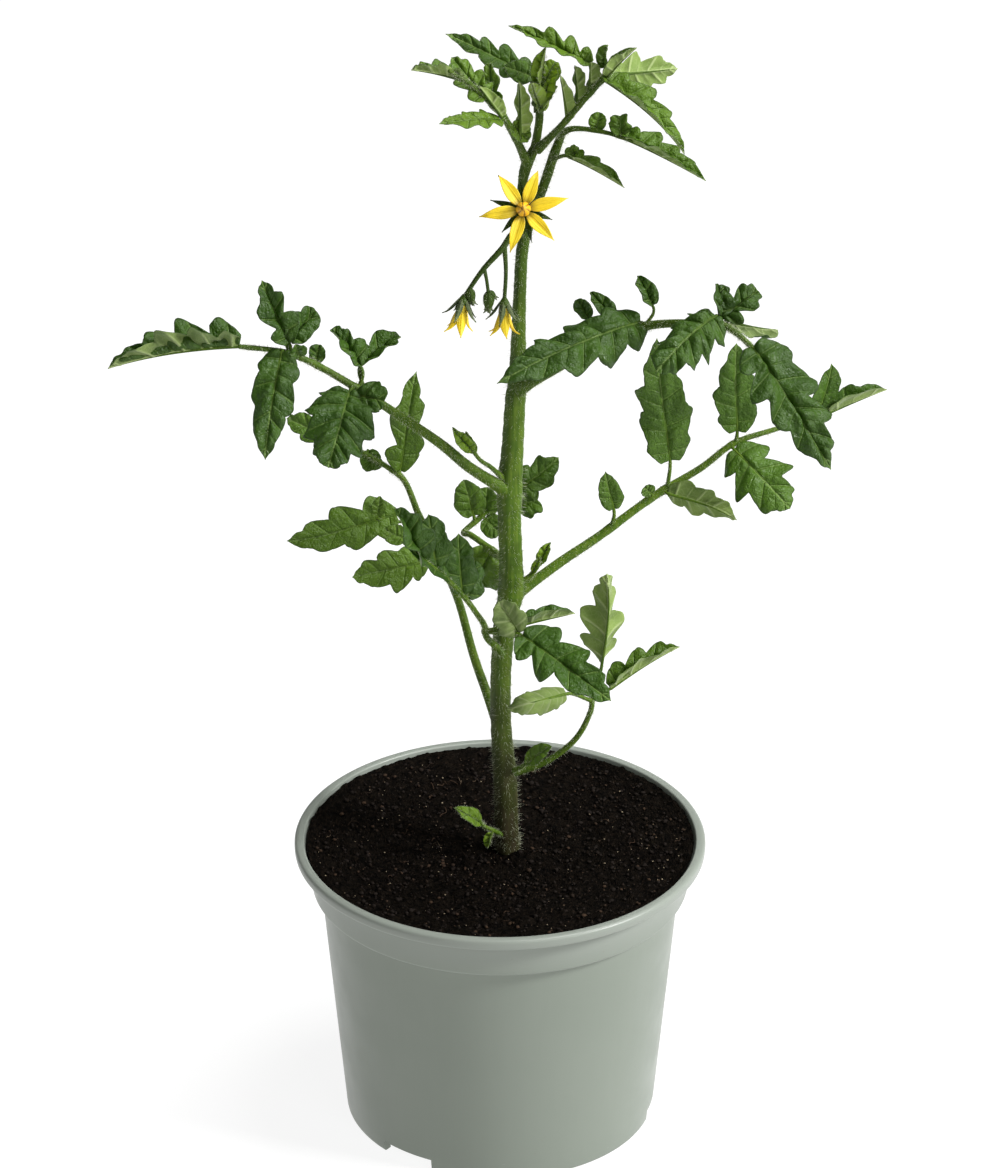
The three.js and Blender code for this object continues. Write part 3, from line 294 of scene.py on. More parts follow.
def under_finish():
    """The lower face: pale grey-green with raised veins and fine down."""
    finish = Finish("leaf_lower")
    rib, veins, fine = vein_masks(finish)
    cloud = finish.noise(120, 3.0).ease(0.3, 0.7)
    colour = finish.mix(cloud, UNDER_DARK, UNDER_MID)
    # The "young" mark holds the leaf's fresh share: partly the paler green of young growth and partly
    # painted light.
    colour = finish.mix(finish.mark("young"), colour, UNDER_YOUNG)
    colour = finish.mix(rib.larger(veins * 0.85).larger(fine * 0.55), colour, UNDER_VEIN)
    # The "dark" mark is the real darker green of sepals and buds, and on leaflets it is painted shade.
    colour = finish.mix(finish.mark("dark"), colour, SEPAL_DARK_AND_PAINTED_SHADE)
    relief = rib * 0.6 + veins * 0.9 + fine * 0.4 + finish.noise(1600, 2.0) * 0.3
    normal = finish.bump(relief, 0.6, 0.32)
    shader = finish.surface(colour, 0.68, normal, sheen_weight=0.25, sheen_roughness=0.5)
    return finish.done(finish.lit_through(shader, THROUGH, THROUGH_SHARE))


STALK_GREEN = (0.055, 0.115, 0.006)
STALK_PALE = (0.12, 0.185, 0.018)
STALK_DARK = (0.026, 0.05, 0.006)
FOOT_BROWN = (0.024, 0.017, 0.009)
FOOT_PURPLE = (0.036, 0.021, 0.017)


def stalk_finish():
    """Stem and stalks: streaked green, turning purple-brown towards the soil."""
    finish = Finish("stalk")
    streak = finish.noise(900, 4.0, (1, 1, 0.06)).ease(0.35, 0.65)
    blotch = finish.noise(110, 3.0).ease(0.35, 0.7)
    height = finish.height()
    colour = finish.mix(streak * 0.7, STALK_GREEN, STALK_PALE)
    colour = finish.mix(blotch * 0.45, colour, STALK_DARK)
    above = height.ease(240, 350, 0.0, 0.4).larger(finish.mark("dark") * 0.9)
    colour = finish.mix(above, colour, STALK_DARK)
    foot = (height + finish.noise(160, 3.0) * 30).ease(126, 232, 1.0, 0.0)
    brown = finish.mix(finish.noise(420, 3.0, (1, 1, 0.2)).ease(0.4, 0.6), FOOT_BROWN, FOOT_PURPLE)
    colour = finish.mix(foot * finish.mark("main") * 0.88, colour, brown)
    grain = finish.noise(1400, 3.0, (1, 1, 0.1)) + finish.noise(2600, 2.0) * 0.5
    normal = finish.bump(grain, 0.5, 0.22)
    shader = finish.surface(colour, 0.55, normal, specular_ior_level=0.16)
    return finish.done(shader)


HAIR_PALE = (0.8, 0.84, 0.66)
HAIR_DULL = (0.55, 0.6, 0.38)


def hair_finish():
    """Fine whitish hairs."""
    finish = Finish("hair")
    colour = finish.mix(finish.noise(300, 1.0), HAIR_PALE, HAIR_DULL)
    shader = finish.surface(colour, 0.4)
    return finish.done(finish.lit_through(shader, HAIR_PALE, 0.35))


PETAL_YELLOW = (0.9, 0.68, 0.008)
PETAL_STREAK = (0.96, 0.8, 0.05)
PETAL_FOOT = (0.2, 0.13, 0.005)
PETAL_THROUGH = (0.95, 0.72, 0.04)


def petal_finish():
    """Bright yellow with faint streaks along the petal, deeper at its foot."""
    finish = Finish("petal")
    along = finish.mark("along")
    off_rib = finish.mark("off_rib")
    streak = (off_rib * 9 + finish.noise(500, 2.0) * 3).sine().ease(-0.6, 1.0)
    colour = finish.mix(streak * 0.5, PETAL_YELLOW, PETAL_STREAK)
    colour = finish.mix(along.ease(0.02, 0.26, 0.85, 0.0), colour, PETAL_FOOT)
    normal = finish.bump(streak + finish.noise(1500, 2.0), 0.4, 0.12)
    shader = finish.surface(colour, 0.5, normal, sheen_weight=0.15)
    return finish.done(finish.lit_through(shader, PETAL_THROUGH, 0.25))


ANTHER_ORANGE = (0.8, 0.4, 0.005)
ANTHER_SEAM = (0.16, 0.05, 0.002)
ANTHER_BRIGHT = (0.85, 0.55, 0.03)
ANTHER_FOOT = (0.09, 0.045, 0.004)


def anther_finish():
    """The fused anthers: orange-yellow, duller in their seams."""
    finish = Finish("anther")
    seam = finish.mark("seam")
    colour = finish.mix(seam.ease(0.35, 0.95), ANTHER_ORANGE, ANTHER_SEAM)
    colour = finish.mix(finish.noise(1200, 3.0).ease(0.4, 0.7) * 0.4, colour, ANTHER_BRIGHT)
    colour = finish.mix(finish.mark("along").ease(0.0, 0.3, 0.9, 0.0), colour, ANTHER_FOOT)
    normal = finish.bump(finish.noise(2500, 2.0), 0.4, 0.08)
    return finish.done(finish.surface(colour, 0.48, normal))


POT_SAGE = (0.202, 0.232, 0.192)
POT_WORN = (0.24, 0.268, 0.228)
# the painted light on the collar and lip
POT_PAINTED_LIGHT = (0.262, 0.288, 0.254)
POT_SCUFF = (0.46, 0.5, 0.46)
POT_DUST = (0.2, 0.19, 0.16)


def pot_finish():
    """Satin sage-grey moulded plastic with faint flow marks and light scuffs, and painted light on the
    collar and lip.
    """
    finish = Finish("pot")
    cloud = finish.noise(22, 3.0).ease(0.3, 0.7)
    flow = finish.noise(300, 3.0, (1, 1, 0.05)).ease(0.3, 0.7)
    scuff = finish.noise(700, 6.0, (0.3, 0.3, 1), 0.7).ease(0.66, 0.78)
    height = finish.height()
    near_foot = height.ease(4, 40, 1.0, 0.15)
    colour = finish.mix(cloud * 0.22 + flow * 0.06, POT_SAGE, POT_WORN)
    # Painted light: the collar, lip and rim are painted lighter, where the light from above falls on them.
    colour = finish.mix(height.ease(88, 104, 0.0, 0.85), colour, POT_PAINTED_LIGHT)
    colour = finish.mix(scuff * near_foot * 0.4, colour, POT_SCUFF)
    dust = finish.noise(900, 4.0).ease(0.68, 0.76) * 0.35
    colour = finish.mix(dust, colour, POT_DUST)
    grain = finish.noise(1800, 3.0) * 0.5 + flow * 0.5
    normal = finish.bump(grain, 0.16, 0.06)
    rough = finish.noise(60, 4.0).ease(0.3, 0.7, 0.3, 0.4) + scuff * 0.15
    return finish.done(finish.surface(colour, rough, normal, specular_ior_level=0.42))


SOIL_DARK = (0.0012, 0.001, 0.0008)
SOIL_BROWN = (0.007, 0.0052, 0.0035)
SOIL_CRUMB = (0.022, 0.015, 0.01)


def soil_finish():
    """Moist dark peat, with browner crumbs."""
    finish = Finish("soil")
    crumb = finish.noise(420, 6.0, (1, 1, 1), 0.65).ease(0.36, 0.7)
    colour = finish.mix(crumb, SOIL_DARK, SOIL_BROWN)
    colour = finish.mix(finish.mark("tone"), colour, SOIL_CRUMB)
    grit = finish.noise(1600, 5.0, (1, 1, 1), 0.7)
    normal = finish.bump(grit + finish.net(900).ease(0.0, 0.35) * 0.5, 0.9, 0.7)
    rough = finish.noise(800, 3.0).ease(0.3, 0.7, 0.62, 0.95)
    return finish.done(finish.surface(colour, rough, normal, specular_ior_level=0.03))


LITTER_DARK = (0.003, 0.002, 0.0015)
LITTER_BROWN = (0.014, 0.009, 0.006)
BARK_BROWN = (0.04, 0.023, 0.013)
GRIT_PALE = (0.26, 0.21, 0.14)


def litter_finish():
    """Bits of bark, fibre and pale grit on the soil."""
    finish = Finish("litter")
    tone = finish.mark("tone")
    dark = finish.mix(finish.noise(900, 3.0), LITTER_DARK, LITTER_BROWN)
    colour = finish.mix(tone.ease(0.3, 0.62), dark, BARK_BROWN)
    colour = finish.mix(tone.ease(0.7, 0.98), colour, GRIT_PALE)
    normal = finish.bump(finish.noise(2600, 3.0), 0.6, 0.2)
    return finish.done(finish.surface(colour, 0.85, normal, specular_ior_level=0.16))


FLOOR_GREY = (0.2, 0.2, 0.2)
FLOOR_DULL = (0.19, 0.19, 0.19)


def floor_finish():
    """A plain pale floor, which glows a little so that it looks as white as the light on it."""
    finish = Finish("floor")
    colour = finish.mix(finish.noise(3, 2.0) * 0.1, FLOOR_GREY, FLOOR_DULL)
    glow = {"emission_color": (1, 1, 1, 1), "emission_strength": FLOOR_GLOW}
    return finish.done(finish.surface(colour, 0.9, **glow))


# ------------------------------------------------------------------ meshes

STALK, HAIR, UPPER, LOWER = range(4)    # the order of a green piece's finishes


class Skin:
    """Collects points, faces, finishes and marks, and makes one piece of them."""

    def __init__(self):
        self.points, self.corners, self.counts, self.slots = [], [], [], []
        self.marks = {}
        self.size = 0

    def add(self, points, faces, slot=0, **marks):
        """Adds points and faces of one size, with the finish's slot and marks for the points."""
        points = np.asarray(points, float).reshape(-1, 3)
        faces = np.asarray(faces, int)
        self.points.append(points)
        self.corners.append((faces + self.size).ravel())
        self.counts.append(np.full(len(faces), faces.shape[1]))
        self.slots.append(np.broadcast_to(slot, len(faces)))
        for name in set(self.marks) | set(marks):
            held = self.marks.setdefault(name, [np.zeros(self.size)])
            held.append(np.broadcast_to(marks.get(name, 0.0), len(points)).astype(float))
        self.size += len(points)

    def add_rings(self, points, slot=0, **marks):
        """Rings of points, each joined to the next, with both ends closed."""
        rings, sides = points.shape[:2]
        start = self.size
        spread = {name: np.broadcast_to(mark, (rings, sides)).ravel() for name, mark in marks.items()}
        self.add(points, grid_faces(rings, sides, closed=True), slot, **spread)
        for row, order in ((0, -1), (rings - 1, 1)):
            self.corners.append((np.arange(sides) + row * sides)[::order] + start)
            self.counts.append(np.array([sides]))
            self.slots.append(np.array([slot]))

    def piece(self, name, nodes, slot, finishes):
        """Makes the piece that stands for its CAD nodes."""
        counts = np.concatenate(self.counts)
        corners = np.concatenate(self.corners)
        mesh = bpy.data.meshes.new(name)
        mesh.vertices.add(self.size)
        mesh.vertices.foreach_set("co", (np.concatenate(self.points) * MM).ravel())
        mesh.loops.add(len(corners))
        mesh.loops.foreach_set("vertex_index", corners)
        mesh.polygons.add(len(counts))
        mesh.polygons.foreach_set("loop_start", np.concatenate([[0], np.cumsum(counts)[:-1]]))
        mesh.polygons.foreach_set("material_index", np.concatenate(self.slots))
        mesh.polygons.foreach_set("use_smooth", np.ones(len(counts), bool))
        for mark, values in self.marks.items():
            held = mesh.attributes.new(mark, "FLOAT", "POINT")
            held.data.foreach_set("value", np.concatenate(values))
        for finish in finishes:
            mesh.materials.append(finish)
        mesh.update(calc_edges=True)
        mesh.validate()
        settle(linked(name, mesh), nodes)


def settle(made, nodes):
    """Lets a piece stand for its CAD nodes and sets it on the plant's one body."""
    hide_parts(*nodes)
    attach(made, BODY)


def unit(vectors):
    """Vectors of length 1."""
    vectors = np.asarray(vectors, float)
    return vectors / np.maximum(np.linalg.norm(vectors, axis=-1, keepdims=True), 1e-12)


def ease(values, low, high):
    """Goes smoothly from 0 to 1 as the values go from low to high."""
    share = np.clip((np.asarray(values, float) - low) / (high - low), 0, 1)
    return share * share * (3 - 2 * share)


def grid_faces(rows, columns, closed=False, looped=False):
    """Quads of a grid of points; closed joins the last column to the first, looped the last row."""
    row, column = np.mgrid[0:rows if looped else rows - 1, 0:columns if closed else columns - 1]
    beside = (column + 1) % columns
    here, above = row * columns, (row + 1) % rows * columns
    return np.stack([here + column, here + beside, above + beside, above + column], -1).reshape(-1, 4)


def along_route(places, shares):
    """Points on the smooth route through the places; shares 0 to 1 count its stretches."""
    places = np.asarray(places, float)
    padded = np.vstack([2 * places[0] - places[1], places, 2 * places[-1] - places[-2]])
    place = np.clip(shares, 0, 1) * (len(places) - 1)
    low = np.minimum(place.astype(int), len(places) - 2)
    t = (place - low)[:, None]
    a, b, c, d = (padded[low + step] for step in range(4))
    return 0.5 * (2 * b + (c - a) * t + (2 * a - 5 * b + 4 * c - d) * t**2
                  + (3 * b - a - 3 * c + d) * t**3)


def frames_along(line, hint=(0, -1, 0.3)):
    """Tangents and two square directions along a line of points, turned as little as can be."""
    tangents = unit(np.gradient(line, axis=0))
    across = np.zeros_like(line)
    across[0] = unit(np.cross(hint, tangents[0]))
    for i in range(1, len(line)):
        across[i] = unit(across[i - 1] - tangents[i] * (across[i - 1] @ tangents[i]))
    return tangents, across, np.cross(tangents, across)


def add_tube(skin, line, radii, sides, slot, ribs=0, rib_depth=0.0, **marks):
    """A round or ribbed stem along a line, with a flat start and a rounded end."""
    line = np.asarray(line, float)
    radii = np.broadcast_to(radii, len(line)).astype(float)
    ahead = unit(line[-1] - line[-2])
    caps = np.array([0.5, 0.85])
    line = np.vstack([line, line[-1] + ahead * radii[-1] * caps[:, None]])
    radii = np.concatenate([radii, radii[-1] * np.sqrt(1 - caps**2)])
    _, across, up = frames_along(line)
    turn = np.linspace(0, 2 * math.pi, sides, endpoint=False)
    shape = 1 + rib_depth * np.cos(ribs * turn)
    ring = across[:, None] * np.cos(turn)[None, :, None] + up[:, None] * np.sin(turn)[None, :, None]
    points = line[:, None] + ring * (radii[:, None] * shape[None])[..., None]
    skin.add_rings(points, slot, **marks)


# Hairs, as their spacing, length and thickness.
HAIRS = {
    "stem": (1.35, 2.5, 0.045), "stem_short": (2.6, 0.8, 0.03), "stem_low": (1.7, 1.4, 0.035),
    "rachis": (0.72, 1.35, 0.045), "young_rachis": (0.62, 1.2, 0.045), "edge": (0.36, 0.7, 0.03),
    "stalk": (0.75, 1.35, 0.045), "young_stalk": (0.75, 1.2, 0.045), "young_rib": (0.5, 1.2, 0.045),
    "truss": (0.75, 1.3, 0.03), "calyx": (0.8, 1.2, 0.03), "bud": (0.7, 1.2, 0.03),
}
HAIR_SINK = 0.06                     # how far a hair's root is under the skin
HAIR_DROOP = 0.12                    # how far its tip hangs, to its length
HAIR_CORNERS = (0, 2.094, 4.189)     # a third of a turn apart


def add_hairs(skin, line, radii, kind, slot, draw):
    """Thin three-sided hairs over a stem, about one to a square of their spacing."""
    spacing, length, thick = HAIRS[kind]
    line = np.asarray(line, float)
    radii = np.broadcast_to(radii, len(line)).astype(float)
    steps = np.linalg.norm(np.diff(line, axis=0), axis=1)
    area = float((steps * math.pi * (radii[:-1] + radii[1:])).sum())
    count = max(int(area / spacing**2), 4)
    tangents, across, up = frames_along(line)
    place = draw.random(count) * (len(line) - 1.001)
    low = place.astype(int)
    part = (place - low)[:, None]
    turn = draw.random(count)[:, None] * 2 * math.pi
    centre = line[low] * (1 - part) + line[low + 1] * part
    radius = radii[low] * (1 - part[:, 0]) + radii[low + 1] * part[:, 0]
    out = across[low] * np.cos(turn) + up[low] * np.sin(turn)
    lean = tangents[low] * draw.normal(0.05, 0.3, (count, 1)) + draw.normal(0, 0.16, (count, 3))
    ahead = unit(out + lean)
    root = centre + out * (radius[:, None] - HAIR_SINK)
    reach = length * (0.45 + 0.75 * draw.random(count))[:, None]
    side = unit(np.cross(ahead, tangents[low]))
    other = np.cross(ahead, side)
    corners = [root + thick * (side * math.cos(a) + other * math.sin(a)) for a in HAIR_CORNERS]
    tip = root + ahead * reach + np.array([0, 0, -HAIR_DROOP]) * reach
    points = np.stack([*corners, tip], 1).reshape(-1, 3)
    first = np.arange(count)[:, None] * 4
    sides = np.concatenate([first + np.array(f) for f in ((0, 1, 3), (1, 2, 3), (2, 0, 3), (2, 1, 0))])
    skin.add(points, sides, slot)


# ------------------------------------------------------------------ leaves

# A leaf has the places its rachis passes and its thickness at both ends.  "fresh" is how bright its
# green is, partly the paler green of young growth and partly painted light, and "deep" how far it is
# darkened as painted shade; "pucker" is how far the blades rise between their veins, "turned" lists
# the leaflets that show their lower face, and "young" leaves are downy.
# A leaflet leaves the rachis at a share of its length ("at") and reaches from base to tip.  "faces"
# is the way its upper side looks, fold closes it along the midrib, arch bends it down along its
# length and curl rolls its edges; fold, arch and curl are in degrees.
LEAFLET_WORDS = ("at", "base", "tip", "faces", "width", "lobes", "cut", "fold", "arch", "curl")


def leaflet(*values):
    """A leaflet's values by their words."""
    return dict(zip(LEAFLET_WORDS, values))


LEAVES = {
    "leaf_low_right": {
        "rachis": [(4.5, -1, 138), (16, -4, 144), (27, -6, 154.5), (32.5, -6, 166), (33, -5, 172.5),
                   (34.5, -4, 178)],
        "thickness": (2.4, 1.7), "fresh_and_painted_light": 0.3, "pucker": 0.8, "turned": (0,),
        "leaflets": [
            leaflet(0.72, (23.5, -14, 177.5), (2.5, -32, 181), (-0.3, -0.5, 0.2), 13, 3, 0.2, -25, 10, 25),
            leaflet(0.86, (40, -2, 173.5), (64.5, 6, 186), (-0.5, -0.3, 1), 18, 3, 0.45, 60, 12, 10),
            leaflet(0.94, (36.5, -3, 184), (38, -2, 219.5), (-0.2, 1, 0.4), 26, 3, 0.52, 55, -35, 20),
        ],
    },
    "leaf_low_left": {
        "rachis": [(1, 1, 150.5), (-4.5, 8, 165.5), (-9.5, 14, 178.5), (-15, 22, 196.5),
                   (-21.5, 28, 210), (-28.5, 33, 223.5), (-34, 38, 236), (-39.5, 41, 240),
                   (-50, 46, 244.5), (-59.5, 50, 248)],
        "thickness": (3.6, 1.4), "fresh_and_painted_light": 0.22, "pucker": 0.7,
        "leaflets": [
            leaflet(0.72, (-36, 40, 240), (-30, 48, 275.5), (0.1, -1, 0.3), 16, 2, 0.6, 10, 15, 20),
            leaflet(0.56, (-37.5, 30, 227), (-76.5, 22, 220.5), (-0.1, -1, 0.5), 20, 3, 0.45, 8, 10, 10),
            leaflet(0.55, (-44, 28, 227.5), (-43, 28, 235.5), (0, -1, 0.4), 6, 0, 0, 10, 5, 5),
            leaflet(0.5, (-34.5, 26, 219.5), (-41, 26, 223), (0, -1, 0.4), 9, 0, 0, 10, 5, 5),
            leaflet(0.43, (-27, 24, 211), (-53, 16, 209), (0.1, -1, 0.5), 18, 3, 0.39, 5, 10, 10),
            leaflet(0.99, (-59.5, 50, 247.5), (-77, 54, 254), (-0.2, -1, 0.5), 14, 3, 0.39, 10, 15, 15),
            leaflet(0.87, (-47.5, 46, 245), (-46, 44, 238), (0, -1, 0.3), 9, 0, 0, 10, 5, 5),
        ],
    },
    "leaf_mid_left": {
        "rachis": [(2.5, -2, 252.5), (-10.5, -8, 264.5), (-21, -12, 276), (-35, -16, 288.5),
                   (-49, -20, 300.5), (-63, -24, 311.5), (-74.5, -27, 318), (-89.5, -29, 321)],
        "thickness": (4.2, 1.6), "painted_shade": 0.16, "pucker": 1.35,
        "leaflets": [
            leaflet(1, (-89.5, -29, 321), (-134.5, -34, 315), (0.1, 0.15, 1), 26, 4, 0.52, 66, 14, 8),
            leaflet(0.83, (-72.5, -28, 322), (-81.5, -24, 343.5), (0.1, -1, 0.4), 16, 2, 0.6, 25, -10, 10),
            leaflet(0.83, (-72.5, -27, 322.5), (-63.5, -20, 330.5), (0.1, -1, 0.4), 14, 1, 0.39, 30, 5, 10),
            leaflet(0.86, (-75, -29, 319), (-80.5, -50, 288), (-0.15, -1, 0.25), 18, 3, 0.26, 5, 25, 25),
            leaflet(0.79, (-69, -27, 316.5), (-70, -33, 323.5), (0, -0.8, 0.6), 8, 0, 0, 10, 5, 5),
            leaflet(0.71, (-63.5, -22, 312), (-62.5, -20, 317.5), (0, -1, 0.3), 7, 0, 0, 20, 5, 5),
            leaflet(0.57, (-48.5, -18, 308.5), (-58.5, -14, 320.5), (0.4, -0.6, 0.8), 15, 2, 0.52,
                    50, 10, 20),
            leaflet(0.55, (-47.5, -16, 308.5), (-34.5, -6, 314), (-0.3, -0.6, 0.8), 15, 2, 0.52, 50, 10, 20),
            leaflet(0.58, (-52, -24, 301.5), (-59, -48, 284), (-0.05, -1, 0.4), 28, 4, 0.33, 0, 35, 30),
            leaflet(0.56, (-49, -25, 300.5), (-40, -30, 300.5), (0.1, -0.9, 0.6), 14, 1, 0.26, 10, 15, 20),
        ],
    },
    "leaf_back": {
        "rachis": [(3.5, 1, 222.5), (0.5, 7, 222), (-3.5, 12, 222.5), (-10.5, 18, 225), (-13, 22, 224),
                   (-8, 26, 227), (-3, 28, 231), (5.5, 30, 236)],
        "thickness": (2.6, 1.6), "fresh_and_painted_light": 0.2,
        "leaflets": [
            leaflet(0.69, (-9.5, 26, 229), (-13, 26, 243), (0, -1, 0.4), 12, 0, 0, 5, 5, 5),
            leaflet(0.8, (-5, 27, 229), (-4.5, 27, 239.5), (0, -1, 0.4), 11, 0, 0, 5, 5, 5),
            leaflet(1, (5.5, 30, 236), (21, 32, 249), (0.1, -1, 0.4), 15, 2, 0.39, 8, 10, 10),
            leaflet(0.93, (6.5, 30, 231), (13.5, 30, 233), (0.1, -1, 0.4), 14, 1, 0.39, 8, 10, 10),
            leaflet(0.75, (-5.5, 27, 227), (0, 27, 221.5), (0.1, -1, 0.4), 10, 0, 0, 8, 10, 10),
            leaflet(0.27, (-3, 14, 221.5), (-8.5, 16, 206.5), (0.1, -1, 0.4), 22, 1, 0.26, 8, 15, 10),
        ],
    },
    "leaf_mid_right": {
        "rachis": [(7, -2, 292.5), (15.5, -10, 301.5), (30, -22, 316), (44.5, -33, 328.5),
                   (55, -40, 334.5), (73, -50, 339), (79.5, -53, 337.5), (85.5, -56, 333)],
        "thickness": (4.4, 1.7), "painted_shade": 0.3, "pucker": 1.75,
        "leaflets": [
            leaflet(0.48, (48, -35, 333), (-1, -62, 322.5), (-0.15, -0.8, 1), 25, 4, 0.47, -8, 25, 25),
            leaflet(0.34, (38.5, -24, 330), (31, -20, 337.5), (0.2, -0.8, 0.6), 8, 0, 0, 30, 10, 5),
            leaflet(0.29, (30.5, -22, 328.5), (26, -18, 333.5), (0.2, -0.8, 0.6), 7, 0, 0, 20, 10, 5),
            leaflet(0.5, (52, -34, 339), (47, -30, 348), (0.3, -0.8, 0.6), 9, 0, 0, 35, 5, 5),
            leaflet(0.7, (73, -50, 342), (52.5, -73, 332), (-0.2, -0.8, 0.9), 25, 4, 0.43, -20, 40, 30),
            leaflet(0.71, (74.5, -48, 341), (74, -40, 349), (0.5, -0.8, 0.4), 12, 1, 0.52, 40, 5, 5),
            leaflet(0.71, (75.5, -48, 340.5), (87.5, -40, 347), (-0.1, -0.7, 0.8), 16, 2, 0.6, 15, 10, 20),
            leaflet(0.74, (77.5, -48, 339), (94.5, -44, 334), (-0.1, -0.2, -1), 16, 2, 0.39, 20, 15, 20),
            leaflet(1, (85.5, -56, 333), (112, -75, 296.5), (0.3, -0.85, 0.6), 26, 4, 0.45, 10, 30, 25),
        ],
    },
    "leaf_right": {
        "rachis": [(5, 1, 209), (21.5, 7, 219.5), (35.5, 12, 227.5), (54.5, 18, 240), (71.5, 22, 249.5),
                   (83.5, 24, 258.5), (98, 27, 262.5), (118, 32, 267)],
        "thickness": (3.8, 1.5), "fresh_and_painted_light": 0.08, "pucker": 0.75,
        "leaflets": [
            leaflet(0.32, (40.5, 13, 238), (37.5, 12, 253), (0.1, -1, 0.3), 10, 1, 0.13, 10, -10, 10),
            leaflet(0.47, (60.5, 18, 255), (55, 10, 306), (0.05, -1, 0.25), 22, 4, 0.29, 8, -15, 20),
            leaflet(0.42, (54, 17, 242), (51.5, 16, 245), (0, -1, 0.3), 6, 0, 0, 10, 5, 5),
            leaflet(0.46, (60, 17, 242), (84, 4, 238), (0.2, 1, 0.15), 15, 3, 0.26, 20, 15, 20),
            leaflet(0.72, (84.5, 24, 263.5), (83.5, 22, 298.5), (0.05, -1, 0.25), 18.5, 3, 0.26, 6, -10, 15),
            leaflet(0.7, (83.5, 22, 257), (103, 6, 241.5), (0.1, -1, 0.5), 25, 3, 0.55, -5, 25, 20),
            leaflet(0.97, (113.5, 32, 266), (118, 34, 285), (0.5, -1, 0.3), 13, 1, 0.39, 20, 10, 10),
            leaflet(1, (118, 32, 267), (138, 36, 274), (0.1, -0.2, 1), 14, 1, 0.39, 70, 5, 5),
        ],
    },
    "side_shoot": {
        "rachis": [(1.5, -1, 185), (-1, -7, 192.5), (-4.5, -10, 198), (-5.5, -12, 204),
                   (-8, -16, 210.5), (-12.5, -21, 220), (-18.5, -26, 229.5), (-27, -32, 240.5)],
        "thickness": (2.8, 1.4), "turned": (6,),
        "leaflets": [
            leaflet(0.99, (-27.5, -32, 241), (-36.5, -38, 263.5), (0.3, -0.7, 0.8), 20, 2, 0.52, 45, 10, 10),
            leaflet(0.85, (-18.5, -26, 229.5), (-34.5, -34, 248.5), (0.3, -0.4, 1), 12, 1, 0.39, 20, 10, 20),
            leaflet(0.92, (-22.5, -28, 236), (-25, -24, 254), (0.3, -1, 0.5), 14, 1, 0.39, 15, 5, 15),
            leaflet(0.74, (-13.5, -22, 222.5), (-14.5, -18, 243.5), (0.3, -1, 0.5), 14, 1, 0.39, 15, 5, 15),
            leaflet(0.69, (-11.5, -20, 219), (-9, -12, 230), (0.3, -1, 0.5), 13, 1, 0.39, 15, 5, 15),
            leaflet(0.36, (8, -21, 204.5), (39, -44, 191), (0.2, -0.8, 0.8), 24, 3, 0.52, 15, 15, 20),
            leaflet(0.36, (6.5, -19, 205), (-0.5, -18, 216.5), (0.2, -0.9, -0.2), 15, 2, 0.26, 20, -20, 20),
            leaflet(0.37, (8, -17, 207), (26.5, -14, 210), (0, 0.1, 1), 12, 2, 0.26, 60, 5, 10),
        ],
    },
    "leaf_top_left": {
        "rachis": [(9.5, 2, 376), (5, -2, 388), (0, -6, 398.5), (-6, -9, 406), (-12, -12, 412.5),
                   (-17, -14, 416.5)],
        "thickness": (2.8, 1.3), "fresh_and_painted_light": 0.26,
        "leaflets": [
            leaflet(0.81, (-13, -12, 412.5), (-30, -14, 417), (0, 0.1, 1), 12, 3, 0.45, 60, 12, 8),
            leaflet(0.55, (-5, -9, 404.5), (-16.5, -4, 417.5), (-0.1, -0.6, 0.85), 13, 3, 0.55, 15, 10, 10),
            leaflet(0.45, (-1.5, -7, 401.5), (-3.5, -1, 414.5), (-0.5, -0.8, 0.5), 10, 2, 0.52, 25, 10, 15),
            leaflet(0.35, (0, -9, 396.5), (-20.5, -25, 402), (-0.1, -0.45, 0.95), 12, 3, 0.45, 8, 15, 15),
            leaflet(0.38, (0.5, -8, 397.5), (-7, -11, 410), (0.4, 1, 0.3), 8, 0, 0, 30, 5, 10),
            leaflet(0.19, (7, -4, 390), (6.5, 0, 407), (0.5, 1, 0.1), 10, 2, 0.45, 35, 5, 10),
            leaflet(0.26, (4, -3, 392.5), (10, -2, 386.5), (-0.2, -0.8, 0.8), 8, 0, 0, 20, 15, 10),
        ],
    },
    "leaf_top_back": {
        "rachis": [(13, 4, 394), (12.5, 6, 399.5), (11, 8, 405)],
        "thickness": (2.2, 1.6), "fresh_and_painted_light": 0.1,
        "leaflets": [
            leaflet(0.98, (11, 8, 405.5), (-18.5, 10, 420.5), (-0.2, -0.75, 0.8), 13, 4, 0.55, 15, 14, 10),
            leaflet(0.96, (10.5, 8, 406), (1.5, 4, 411), (-0.2, -0.9, 0.5), 9, 0, 0, 10, 10, 5),
        ],
    },
    "leaf_top_right": {
        "rachis": [(13, 1, 381.5), (17.5, -3, 388), (22.5, -6, 395), (29, -9, 404.5), (35.5, -11, 413),
                   (40, -12, 419)],
        "thickness": (2.8, 1.4), "fresh_and_painted_light": 0.3,
        "leaflets": [
            leaflet(0.83, (36.5, -12, 414), (46, -15, 425.5), (-0.2, 0, 1), 8.5, 0, 0, 55, 10, 5),
            leaflet(0.42, (23, -6, 396), (20.5, -9, 413), (0.9, 0.6, 0.1), 10, 1, 0.39, 25, 5, 5),
            leaflet(0.53, (26.5, -8, 402), (25.5, -4, 414.5), (0.8, 0.7, 0.1), 11, 2, 0.45, 25, 5, 5),
            leaflet(0.65, (30.5, -9, 407.5), (31, -6, 416.5), (0.8, 0.7, 0.1), 10, 1, 0.39, 25, 5, 5),
            leaflet(0.66, (30.5, -4, 415), (3, 0, 427.5), (0.1, -0.6, 0.9), 13, 4, 0.52, 40, 14, 10),
